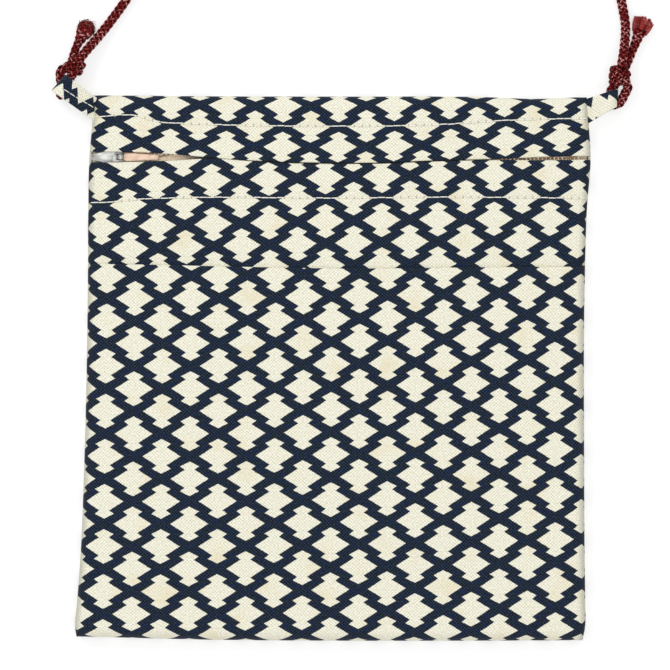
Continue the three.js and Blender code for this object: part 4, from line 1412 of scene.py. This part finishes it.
def ring_on_y(radius: float, half_width: float, half_thick: float) -> Form:
    """Ring round the y axis with a rounded section.

    Ring point = the radius plus half the thickness times the section's sine, outward, and half the width
    times its cosine along y.

    Args:
        radius: of the ring's middle.
        half_width: half of what it measures along y.
        half_thick: half of what it measures outward.
    Returns:
        The ring, without maps.
    """
    around, sides = 24, 10
    turn = np.linspace(0, TURN, around, endpoint=False)
    wide, tall = squared(TURN * np.arange(sides) / sides, squareness=0.6)
    outward = np.stack([np.cos(turn), 0 * turn, np.sin(turn)], axis=-1)[:, None]
    ring = outward * (radius + half_thick * tall)[None, :, None]
    ring = ring + np.array([0.0, 1.0, 0.0]) * (half_width * wide)[None, :, None]
    faces = grid_faces(around, sides, wrap_rows=True, wrap_columns=True)[:, ::-1]
    return Form(ring.reshape(-1, 3), [Patch(faces)])


@dataclass
class Zip:
    """Tapes, teeth, slider and pull of the zip under the lip."""

    form: PouchForm
    finishes: Finishes
    slider: SliderShape = SliderShape()
    pull: PullShape = PullShape()
    tape_width: float = 0.013
    tape: float = 0.001
    tape_gap: float = 0.00022       # from the zip's middle to each tape
    tape_rise: Pair = (0.0033, 0.8)     # where it leaves the level, and reaches the wall as a share
    tape_rows: int = 14
    chain_width: float = 0.0032
    chain_height: float = 0.002
    tooth_step: float = 0.0016
    tooth_start: float = 0.0011     # from the slider to the first tooth
    tooth_reach: float = 0.86
    tooth_shift: float = 0.00022
    tooth_half: float = 0.31
    tooth_round: Pair = (4, 0.55)   # power and share by which it narrows to its ends
    tooth_waist: Trio = (0.25, 0.45, 0.25)      # depth, place and reach
    slider_inset: float = 0.0016
    drift: float = 0.0019           # how far the lip hides the teeth between the slit's open ends
    hidden: tuple[float, ...] = (0.11, 0.16, 0.79, 0.87)

    def middle(self, across: Array) -> Array:
        """Middle of the teeth: the slit's middle at both ends, and pushed up under the lip between them."""
        start, full, wane, end = self.hidden
        drift = ease(start, full, across) * (1 - ease(wane, end, across))
        return self.form.zip_line(across) + self.drift * drift

    @property
    def wall_inside(self) -> float:
        """First clear depth inside the front wall."""
        return self.form.layer + self.form.cloth + self.form.gap

    @property
    def tape_drop(self) -> float:
        """Depth of the tapes beside the chain."""
        return self.wall_inside + self.slider.plate + 2 * self.form.gap

    def _across(self, x: Array) -> Array:
        """Share of the width at a place across."""
        return (x + self.form.width / 2) / self.form.width

    def build(self) -> None:
        """Builds the zip's pieces."""
        finishes = self.finishes
        pin = np.array(frame["joints"][0]["pos_m"], float)
        for name, side in (("upper", 1), ("lower", -1)):
            make_piece(f"{name}_tape", self._tape(side), [finishes.tape, finishes.tape],
                       f"zip_tape_{name}")
        make_piece("teeth", self._teeth(), [finishes.brass], "zip_chain")
        make_piece("slider", self._slider(pin), [finishes.nickel], "zip_slider")
        make_piece("pull", self._pull(pin), [finishes.leather, finishes.nickel], "zip_pull",
                   ZIP_PULL)

    def _tape(self, side: int) -> Form:
        """One tape: level beside the teeth, then rising to where it is sewn to the wall."""
        form = self.form
        channel = self.chain_width / 2 + form.gap
        low, high = sorted((side * self.tape_gap, side * (channel + self.tape_width)))
        middle = self.middle(form.columns().share)[None, :]
        start, share = self.tape_rise

        def depth(y: Array) -> Array:
            """Depth under the pocket's face: the tape's own level, easing to the wall's inside."""
            away = np.abs(y - middle) - channel
            return lerp(self.tape_drop, self.wall_inside, ease(start, self.tape_width * share, away))

        rows = form.lines(np.linspace(0, 1, self.tape_rows), False, False)
        return form.sheet(rows, shifted(self.middle, low + self.tape / 2),
                          shifted(self.middle, high - self.tape / 2), PrintZone.BACK, depth,
                          level(form.layer), self.tape)

    def _teeth(self) -> Form:
        """Teeth: rounded blocks in turn from either side of the zip's middle.

        Half size = a share of the step, less a power of the place across, and with a waist that follows a
        bell curve.
        """
        form = self.form
        start = read(form.left_edge, read(form.zip_line, 0.0)) + self.slider_inset
        start = start + self.slider.length + self.tooth_start
        end = read(form.right_edge, read(form.zip_line, 1.0)) - form.edge_roll
        x = np.arange(start, end, self.tooth_step)
        side = np.where(np.arange(len(x)) % 2 == 0, 1.0, -1.0)[:, None]
        middle = self.middle(self._across(x))
        z = form.face_height(x, middle, self.wall_inside + form.gap / 2 + self.chain_height / 2)
        share = np.linspace(-1, 1, 7)[None, :]
        y = middle[:, None] + share * self.chain_width / 2 * self.tooth_reach + side * self.tooth_shift
        lines = np.stack(np.broadcast_arrays(x[:, None], y, z[:, None]), axis=-1)
        power, loss = self.tooth_round
        ends = 1 - np.abs(share) ** power * loss
        depth, place, reach = self.tooth_waist
        waist = 1 - depth * np.exp(-(((share * side + place) / reach) ** 2))
        return tubes(lines, self.tooth_step * self.tooth_half * ends * waist, self.chain_height / 2 * ends,
                     UP, 8)

    def _slider(self, pin: Array) -> Form:
        """The slider, set so that its pin is the hinge's."""
        shape = self.slider
        nose = pin - np.array([shape.length + shape.pin_radius, 0.0, -shape.pin_drop])
        return shape.form(nose, -self.wall_inside, -(self.tape_drop + self.tape + self.form.gap))

    def _pull(self, pin: Array) -> Form:
        """The pull, laid along the zip from its pin."""
        tip_x = pin[0] + self.pull.length
        tip_y = read(lambda x: self.form.zip_line(self._across(x)), tip_x)
        aim = unit(np.array([tip_x - pin[0], tip_y - pin[1], 0.0]))
        whole = self.pull.form(self.slider, float(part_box(ZIP_PULL)[0][2]) - pin[2])
        return whole.placed(aim, np.cross(UP, aim), UP, pin)


@dataclass(frozen=True)
class TabShape:
    """A cloth tab in plan: offsets of its corners from the pouch's corner, and its heights."""

    root_upper: Pair
    root_lower: Pair
    end_upper: Pair
    end_lower: Pair
    root_height: float
    fold_height: float
    print_origin: Pair      # where a figure of the print stands, in plan
    print_turn: float       # how far the print is turned, in degrees
    tunnel: float = 0.0046
    cloth: float = 0.0012
    fold_degrees: float = 112.0     # from the fold's middle to where a leaf leaves its circle
    root_gap: float = 0.52          # from the middle to each leaf at the root, in walls
    crease: Trio = (0.00022, 900.0, 5.0)    # height, and radians for each metre along and for the width

    def form(self, corner: Array) -> Form:
        """A strip folded over the cord: two leaves that open into a round fold.

        Side view = a leaf that rises by a smooth step from the root to a circle, the circle's front, and the
        other leaf back, all with a low crease that is a sine over both ways. Plan = the straight mix of the
        four corners.

        Args:
            corner: the pouch's corner, in plan.
        Returns:
            The strip's middle surface, with the maps print, cloth, seam and edge.
        """
        upper = [np.add(corner, self.root_upper), np.add(corner, self.end_upper)]
        lower = [np.add(corner, self.root_lower), np.add(corner, self.end_lower)]
        length = float(np.linalg.norm((upper[1] + lower[1]) / 2 - (upper[0] + lower[0]) / 2))
        width = float(np.linalg.norm((upper[0] + upper[1]) / 2 - (lower[0] + lower[1]) / 2))
        across = np.linspace(0, 1, 13)[None, :]

        def plan(distance: Array) -> Array:
            """Places of the rows at distances from the root, laid between the four corners."""
            reach = (distance / length)[:, None, None]
            return lerp(lerp(upper[0], upper[1], reach), lerp(lower[0], lower[1], reach), across[..., None])

        radius = self.tunnel / 2 + self.cloth / 2
        centre = length - radius - self.cloth / 2
        turn = np.radians(np.linspace(self.fold_degrees, -self.fold_degrees, 19))
        touch = np.array([centre + radius * np.cos(turn[0]), radius * np.sin(turn[0])])
        share = np.linspace(0, 1, 9, endpoint=False)
        along = np.concatenate([share * touch[0], centre + radius * np.cos(turn), (share * touch[0])[::-1]])
        rise = lerp(self.cloth * self.root_gap, touch[1], ease(0.0, 1.0, share))
        height = np.concatenate([rise, radius * np.sin(turn), -rise[::-1]])
        path = arc_length(np.stack([along, height], axis=1))
        lift = lerp(self.root_height, self.fold_height, np.minimum(1, along / centre))
        deep, every, slant = self.crease
        crease = deep * np.sin(along[:, None] * every + across * slant) * np.sin(np.pi * across)
        z = (lift + height)[:, None] + crease
        flat = plan(path)
        cloth = np.broadcast_arrays((0.5 - across) * width, path[:, None])
        away = np.full((*z.shape, 2), FAR)
        maps = {
            "print": turned_print(self.print_origin, self.print_turn).at(flat[..., 0], flat[..., 1]),
            "edge": away,
            "cloth": np.stack(cloth, axis=-1) * MILLI,
            "seam": away,
        }
        faces = grid_faces(*z.shape)
        if self.end_upper[0] > self.root_upper[0]:
            faces = faces[:, ::-1]
        maps = {key: value.reshape(-1, 2)[faces] for key, value in maps.items()}
        vertices = np.concatenate([plan(along), z[..., None]], axis=-1).reshape(-1, 3)
        return Form(vertices, [Patch(faces, maps)])


LEFT_TAB = TabShape((0.0032, -0.0022), (0.0024, -0.0116), (-0.0114, 0.0086), (-0.0171, 0.0022),
                    0.0035, 0.0078, (-0.09720, 0.09377), 58.5)
RIGHT_TAB = TabShape((-0.0020, -0.0016), (-0.0012, -0.0120), (0.0127, 0.0032), (0.0123, -0.0040),
                     0.0035, 0.0037, (0.12319, 0.10778), 115.9)


@dataclass
class Tabs:
    """The two cloth tabs at the top corners."""

    form: PouchForm
    finishes: Finishes
    wall_share: float = 0.92
    stitch_route: tuple[Trio, ...] = ((-0.0118, 0.0025, 0.0112), (-0.0060, -0.0012, 0.0088),
                                      (-0.0004, -0.0045, 0.0066), (0.0012, -0.0062, 0.0062))
    stitch_pitch: float = 0.0029
    stitch_length: float = 0.0024
    stitch_arch: float = 0.0003
    stitch_radius: float = 0.00018

    def corner(self, side: int) -> Array:
        """Plan place of the pouch's left (-1) or right (1) top corner."""
        edge = self.form.left_edge if side < 0 else self.form.right_edge
        return np.array([read(edge, self.form.top_edge), self.form.top_edge])

    def build(self) -> None:
        """Builds both tabs, with a wall of cloth and softened edges."""
        for name, side, shape in (("left", -1, LEFT_TAB), ("right", 1, RIGHT_TAB)):
            piece = make_piece(f"{name}_tab", shape.form(self.corner(side)), [self.finishes.printed],
                               f"tab_{name}")
            wall = piece.modifiers.new("wall", "SOLIDIFY")
            wall.thickness = shape.cloth * self.wall_share
            wall.offset = 0.0
            soft = piece.modifiers.new("soft_edges", "SUBSURF")
            soft.levels = 1
            soft.render_levels = 1
        self._stitches()

    def _stitches(self) -> None:
        """The line of stitches along the left tab's lower side."""
        route = curve_through(np.array(self.stitch_route) + np.append(self.corner(-1), 0.0))
        count = int(arc_length(route)[-1] / self.stitch_pitch)
        share = np.linspace(-0.5, 0.5, 7)[None, :]
        places = (np.arange(count)[:, None] + 0.5) * self.stitch_pitch + share * self.stitch_length
        lines = points_at(route, places.ravel()).reshape(*places.shape, 3)
        lines[:, :, 2] += self.stitch_arch * (1 - (2 * share) ** 2)
        stitches = tubes(lines, self.stitch_radius, self.stitch_radius, UP, 6)
        make_piece("left_tab_stitching", stitches, [self.finishes.thread])


@dataclass(frozen=True)
class Braid:
    """Round braid of strands wound both ways, each over one and under one."""

    radius: float = 0.002
    each_way: int = 4
    sides: int = 6
    middle: float = 0.61        # strands' centres, as a share of the radius
    weave: float = 0.14         # how far they weave in and out
    half_width: float = 0.40    # of a strand
    half_height: float = 0.28
    pitch: float = 4.65         # one turn of a strand, in radii
    core_gap: float = 0.06      # from the core to the strands' centres

    def form(self, curve: Array, places: Array, reference: Array, swell: SmoothTable | None = None) -> Form:
        """Carries the strands along a curve.

        Strand centre = curve point + its distance out, turned by the strand's own angle. The angle grows
        evenly along the curve, one way or the other, and the distance out follows a cosine that has each
        strand pass over and under the others in turn.

        Args:
            curve: the centre line.
            places: distances along it of the rings.
            reference: a direction never along the curve, from which angles are counted.
            swell: the radius as a share of the braid's own, over the share of the length.
        Returns:
            All strands and a core, with the map yarn.
        """
        centre = points_at(curve, places)
        tangent = unit(np.gradient(centre, axis=0))
        normal = unit(reference - tangent * (tangent @ reference)[:, None])
        beside = np.cross(tangent, normal)
        scale = np.ones(len(places)) if swell is None else swell.at((places - places[0]) / np.ptp(places))
        size = self.radius * scale
        phase = places / (self.radius * self.pitch) * TURN
        way = np.repeat([1.0, -1.0], self.each_way)[:, None]
        start = np.tile(np.arange(self.each_way), 2)[:, None] * (TURN / self.each_way)
        angle = start + way * phase[None, :]
        out = size * (self.middle + self.weave * way * np.cos(self.each_way * phase)[None, :])
        outward = np.cos(angle)[..., None] * normal + np.sin(angle)[..., None] * beside
        strands = tubes(centre + out[..., None] * outward, size * self.half_width, size * self.half_height,
                        outward, self.sides)
        filling = size * (self.middle - self.core_gap)
        return joined([strands, tubes(centre[None], filling, filling, normal, 6)])


def fibres(roots: Array, tips: Array, bend: Array, radius: float, rings: int = 6) -> Form:
    """Loose fibres: point = root to tip in a straight line, plus the bend times a sine over the way.

    Args:
        roots: (fibres, 3) where they start.
        tips: (fibres, 3) where they end.
        bend: (fibres, 3) how far their middles stand off.
        radius: at the root, and half of it at the tip.
        rings: sections of each fibre.
    Returns:
        The fibres as thin three-sided tubes.
    """
    share = np.linspace(0, 1, rings)[None, :, None]
    lines = lerp(roots[:, None], tips[:, None], share) + bend[:, None] * np.sin(np.pi * share)
    size = radius * (1 - 0.5 * share[..., 0])
    reference = unit(np.cross(unit(tips - roots), np.array([0.31, 0.22, 0.92])))
    return tubes(lines, size, size, reference[:, None], 3)


@dataclass(frozen=True)
class KnotShape:
    """One knot, the ring of cord through its tab and the tail beyond it, as offsets in metres."""

    name: str
    side: int
    knot: Trio                  # from the pouch's corner
    ring: tuple[Trio, ...]      # from the pouch's corner
    tail: tuple[Trio, ...]      # from the knot
    axis: Trio                  # what the turns are wound round
    start_angle: float
    winds: float
    wind_radius: float
    wind_pitch: float
    wind_flatness: float = 0.92
    draw_in: Pair = (0.3, 6)    # share and power by which the turns narrow at the ends
    core_length: float = 0.0066


LEFT_KNOT = KnotShape(
    "left", -1, (-0.0079, 0.0117, 0.0047),
    ((-0.0095, 0.0114, 0.0044), (-0.0132, 0.0104, 0.0036), (-0.0136, 0.0072, 0.0023),
     (-0.0130, 0.0038, 0.0021), (-0.0134, 0.0010, 0.0036), (-0.0130, 0.0006, 0.0062),
     (-0.0124, 0.0026, 0.0078), (-0.0106, 0.0054, 0.0078), (-0.0086, 0.0086, 0.0068),
     (-0.0078, 0.0110, 0.0052)),
    ((-0.0008, 0.0026, -0.0019), (0.0002, 0.0069, -0.0023), (0.0018, 0.0104, -0.0019),
     (0.0048, 0.0156, -0.0008)),
    (0.66, 0.75, -0.06), 0.6, 1.8, 0.0026, 0.0029)
RIGHT_KNOT = KnotShape(
    "right", 1, (0.0131, 0.0080, 0.0046),
    ((0.0126, 0.0060, 0.0034), (0.0104, 0.0034, 0.0034), (0.0092, 0.0002, 0.0036),
     (0.0098, -0.0030, 0.0034), (0.0119, -0.0032, 0.0030), (0.0138, -0.0020, 0.0030),
     (0.0150, 0.0006, 0.0034), (0.0164, 0.0032, 0.0040), (0.0156, 0.0058, 0.0044)),
    ((0.0016, 0.0022, -0.0021), (0.0040, 0.0072, -0.0023), (0.0068, 0.0142, -0.0023),
     (0.0083, 0.0182, -0.0022)),
    (0.10, 0.99, 0.06), 3.5, 2.4, 0.0029, 0.0025)


@dataclass(frozen=True)
class Bulge:
    """The left tail's swollen end: fibres laid along a flattened ball over the braid. Lengths are metres."""

    swell: SmoothTable = SmoothTable((0.0, 0.5, 0.66, 0.8, 0.92, 1.0), (1.0, 1.0, 1.35, 1.72, 1.6, 1.0))
    aim_points: int = 8             # last points of the tail's line that give its direction
    past_end: float = 0.0019        # how far the braid runs on beyond them
    seed: int = 11
    count: int = 1500
    centre: float = 0.0022          # of the ball, back from the end
    flatness: float = 0.8
    root: float = 0.0026            # from the ball's centre
    tip: Pair = (0.0028, 0.0033)
    stroke: float = 0.0011          # how far the fibres run along the ball
    bend: Pair = (0.0001, 0.0005)
    radii: Pair = (0.00012, 0.00014)    # of the light fibres and of the dark ones
    lowest: float = 0.0003

    def form(self, end: Array, way: Array) -> Form:
        """The fibres: every second one light, in finish 1, and the others as dark as the cord.

        Root = ball's centre plus its radius along a direction, drawn by turn about the braid and place along
        it. Tip = the same further out, plus a stroke along the ball.

        Args:
            end: the end of the braid.
            way: its direction there.
        Returns:
            The fibres.
        """
        rng = np.random.default_rng(self.seed)
        around = rng.uniform(0, TURN, self.count)
        along = rng.uniform(-1.0, 1.0, self.count)
        side = unit(np.cross(way, UP))
        belt = np.sqrt(1 - along**2)[:, None]
        out = np.cos(around)[:, None] * side * belt
        out = out + np.sin(around)[:, None] * np.cross(side, way) * belt * self.flatness
        out = out + along[:, None] * way
        centre = end - way * self.centre
        strokes = rng.normal(0, self.stroke, (self.count, 3))
        strokes = strokes - out * np.sum(strokes * out, axis=1, keepdims=True)
        tips = centre + out * rng.uniform(*self.tip, self.count)[:, None] + strokes
        tips[:, 2] = np.maximum(tips[:, 2], self.lowest)
        bend = out * rng.uniform(*self.bend, self.count)[:, None]
        roots = centre + out * self.root
        light, dark = (fibres(roots[first::2], tips[first::2], bend[first::2], radius)
                       for first, radius in enumerate(self.radii))
        return joined([light.finished(1), dark])


@dataclass(frozen=True)
class Fan:
    """The right tail's open end: locks of fibres side by side in a flat fan. Lengths are metres."""

    swell: SmoothTable = SmoothTable((0.0, 0.7, 0.85, 1.0), (1.0, 1.0, 1.15, 1.4))
    aim_points: int = 12
    past_end: float = 0.0
    seed: int = 23
    count: int = 640
    locks: int = 15
    root: float = 0.0010            # back from the end
    stray: float = 0.05             # of fibres beside their lock, as a share of the fan
    lock_lift: float = 0.8
    fibre_lift: float = 0.2
    lift_fall: float = 0.8          # how much flatter the fan gets to its sides
    root_half: Pair = (0.0027, 0.0017)      # sideways and up
    tip_half: Pair = (0.0036, 0.0021)
    tip_stray: float = 0.00025
    reach: Pair = (0.0056, 0.0074)
    reach_share: Pair = (0.86, 1.0)
    reach_fall: Pair = (1.06, 0.15)         # in the middle, and what it loses to the fan's sides
    crimp: Pair = (0.0004, 0.00015)         # of the locks and of single fibres
    spread: float = 0.0005
    radius: float = 0.00015
    lowest: float = 0.0003

    def form(self, end: Array, way: Array) -> Form:
        """The fibres, in finish 1.

        Root and tip = place sideways in the fan and place up, each times the fan's half size there. The tip
        lies further along by a reach that falls with the square of the place sideways.

        Args:
            end: the end of the braid.
            way: its direction there.
        Returns:
            The fibres.
        """
        rng = np.random.default_rng(self.seed)
        count, locks = self.count, self.locks
        lock = rng.integers(0, locks, count)
        fan = np.linspace(-1, 1, locks)[lock] + rng.normal(0, self.stray, count)
        lift = rng.uniform(-self.lock_lift, self.lock_lift, locks)[lock]
        lift = lift + rng.uniform(-self.fibre_lift, self.fibre_lift, count)
        lift = (lift * np.sqrt(np.clip(1 - fan**2 * self.lift_fall, 0, 1)))[:, None]
        side = unit(np.cross(way, UP))
        root = end - way * self.root
        roots = root + side * (fan * self.root_half[0])[:, None] + UP * lift * self.root_half[1]
        reach = rng.uniform(*self.reach, locks)[lock] * rng.uniform(*self.reach_share, count)
        most, loss = self.reach_fall
        reach = reach * (most - loss * fan**2)
        aside = fan * self.tip_half[0] + rng.normal(0, self.tip_stray, count)
        tips = root + way * reach[:, None] + side * aside[:, None] + UP * lift * self.tip_half[1]
        tips[:, 2] = np.maximum(tips[:, 2], self.lowest)
        crimp = rng.normal(0, self.crimp[0], (locks, 3))[lock] + rng.normal(0, self.crimp[1], (count, 3))
        crimp = crimp + side * (fan * self.spread)[:, None]
        return fibres(roots, tips, crimp, self.radius).finished(1)


@dataclass
class CordWork:
    """The braided shoulder cord, its knots, the rings through the tabs and the two tails."""

    tabs: Tabs
    finishes: Finishes
    braid: Braid = Braid()
    knot_braid: Braid = Braid(radius=0.00172)
    bulge: Bulge = Bulge()
    fan: Fan = Fan()
    fine_step: float = 0.00035
    coarse_step: float = 0.00068
    turn_step: float = 0.0003
    core_step: float = 0.0004
    seen_left: float = 0.052
    seen_right: float = 0.050

    def build(self) -> None:
        """Builds the pieces on the cord, then the cord."""
        self._cord([self._knot(LEFT_KNOT), self._knot(RIGHT_KNOT),
                    self._tail(LEFT_KNOT, self.bulge), self._tail(RIGHT_KNOT, self.fan)])

    def _corner(self, shape: KnotShape) -> Array:
        """The pouch's corner at that side, on the surface."""
        return np.append(self.tabs.corner(shape.side), 0.0)

    def _even(self, curve: Array, step: float) -> Array:
        """Even distances along a curve."""
        length = arc_length(curve)[-1]
        return np.linspace(0, length, int(length / step) + 1)

    def _knot(self, shape: KnotShape) -> bpy.types.Object:
        """Knot and ring: turns wound round the knot's axis as a helix that draws in at its ends."""
        corner = self._corner(shape)
        centre = corner + np.array(shape.knot)
        axis = unit(np.array(shape.axis))
        first = unit(np.cross(axis, UP))
        share = np.linspace(-0.5, 0.5, 120)
        angle = shape.start_angle + TURN * shape.winds * share
        loss, power = shape.draw_in
        radius = shape.wind_radius * (1 - loss * np.abs(2 * share) ** power)
        wind = centre + (np.cos(angle) * radius)[:, None] * first
        wind = wind + (np.sin(angle) * radius * shape.wind_flatness)[:, None] * np.cross(axis, first)
        wind = wind + (share * shape.winds * shape.wind_pitch)[:, None] * axis
        turns = self.knot_braid.form(wind, self._even(wind, self.turn_step), axis)
        ring = curve_through(corner + np.array(shape.ring))
        plane = np.linalg.svd(ring - ring.mean(axis=0))[2][2]
        loop = self.braid.form(ring, self._even(ring, self.fine_step), plane)
        middle = centre + np.linspace(-0.5, 0.5, 20)[:, None] * axis * shape.core_length
        core = self.knot_braid.form(middle, self._even(middle, self.core_step), first)
        return make_piece(f"{shape.name}_knot", joined([turns, loop, core]), [self.finishes.cord],
                          f"knot_{shape.name}")

    def _tail(self, shape: KnotShape, end: Bulge | Fan) -> bpy.types.Object:
        """A tail: the braid, which swells towards its end, and the loose fibres there."""
        curve = curve_through(self._corner(shape) + np.array(shape.knot) + np.array(shape.tail))
        way = unit(curve[-1] - curve[-end.aim_points])
        curve = np.vstack([curve, curve[-1] + way * end.past_end])
        braid = self.braid.form(curve, self._even(curve, self.turn_step), UP, end.swell)
        return make_piece(f"{shape.name}_tail", joined([braid, end.form(curve[-1], way)]),
                          [self.finishes.cord, self.finishes.fray], f"tail_{shape.name}")

    def _cord(self, pieces: list[bpy.types.Object]) -> None:
        """The shoulder cord along its route, with fine rings where the camera sees it."""
        curve = curve_through(np.array(CORD_ROUTE))
        length = float(arc_length(curve)[-1])
        places = np.concatenate([
            np.arange(0, self.seen_left, self.fine_step),
            np.arange(self.seen_left, length - self.seen_right, self.coarse_step),
            np.arange(length - self.seen_right, length, self.fine_step),
        ])
        piece = make_piece("shoulder_cord_braid", self.braid.form(curve, places, UP), [self.finishes.cord],
                           "shoulder_cord")
        LOG.info("shoulder cord: %.3f m", length)


@dataclass(frozen=True)
class SoftLamp:
    """An area lamp that looks at the frame's origin."""

    name: str
    place: Trio
    size: float
    power: float


@dataclass
class Studio:
    """Floor, lights and camera."""

    finishes: Finishes
    view_width: float = 0.268       # what the photograph shows, at the pouch's middle height
    view_centre: Pair = (0.0, 0.00912)
    camera_height: float = 2.0
    middle_height: float = 0.006
    sensor: float = 36.0
    clip: Pair = (0.1, 20.0)
    floor_half: float = 1.6
    floor_level: float = -0.00006
    surround: float = 0.86
    lamps: tuple[SoftLamp, ...] = (SoftLamp("overhead", (0.15, 0.2, 2.6), 1.6, 12.0),
                                   SoftLamp("key", (-0.9, 1.1, 1.3), 0.4, 6.0))

    def build(self) -> None:
        """Builds the stage and the camera."""
        self._floor()
        self._lights()
        self._camera()

    def _floor(self) -> None:
        """A wide flat sheet just under the surface that the pouch rests on."""
        share = np.linspace(-self.floor_half, self.floor_half, 9)
        x, y = np.meshgrid(share, share)
        corners = np.stack([x, y, np.full(x.shape, self.floor_level)], axis=-1).reshape(-1, 3)
        make_object("floor", Form(corners, [Patch(grid_faces(*x.shape))]), [self.finishes.floor])

    def _lights(self) -> None:
        """A wide soft light overhead, a gentler one from the upper left, and an even surround."""
        scene = bpy.context.scene
        scene.view_settings.view_transform = "Standard"
        world = bpy.data.worlds.new("surround")
        scene.world = world
        world.use_nodes = True
        background = world.node_tree.nodes["Background"]
        background.inputs["Color"].default_value = (1.0, 1.0, 1.0, 1.0)
        background.inputs["Strength"].default_value = self.surround
        for lamp in self.lamps:
            data = bpy.data.lights.new(lamp.name, "AREA")
            data.size = lamp.size
            data.energy = lamp.power
            light = bpy.data.objects.new(lamp.name, data)
            light.location = lamp.place
            light.rotation_euler = (-Vector(lamp.place)).to_track_quat("-Z", "Y").to_euler()
            scene.collection.objects.link(light)

    def _camera(self) -> None:
        """A camera straight above, whose view is as wide as the photograph's."""
        data = bpy.data.cameras.new("camera")
        data.sensor_width = self.sensor
        data.lens = self.sensor * (self.camera_height - self.middle_height) / self.view_width
        data.clip_start, data.clip_end = self.clip
        camera = bpy.data.objects.new("camera", data)
        camera.location = (*self.view_centre, self.camera_height)
        bpy.context.scene.collection.objects.link(camera)
        bpy.context.scene.camera = camera


def main() -> None:
    """Builds the whole scene."""
    logging.basicConfig(level=logging.INFO, format="%(name)s: %(message)s")
    finishes = Finishes()
    Studio(finishes).build()
    form = PouchForm()
    tabs = Tabs(form, finishes)
    CordWork(tabs, finishes).build()
    Body(form, finishes).build()
    Zip(form, finishes).build()
    tabs.build()


if __name__ == "__main__":
    main()
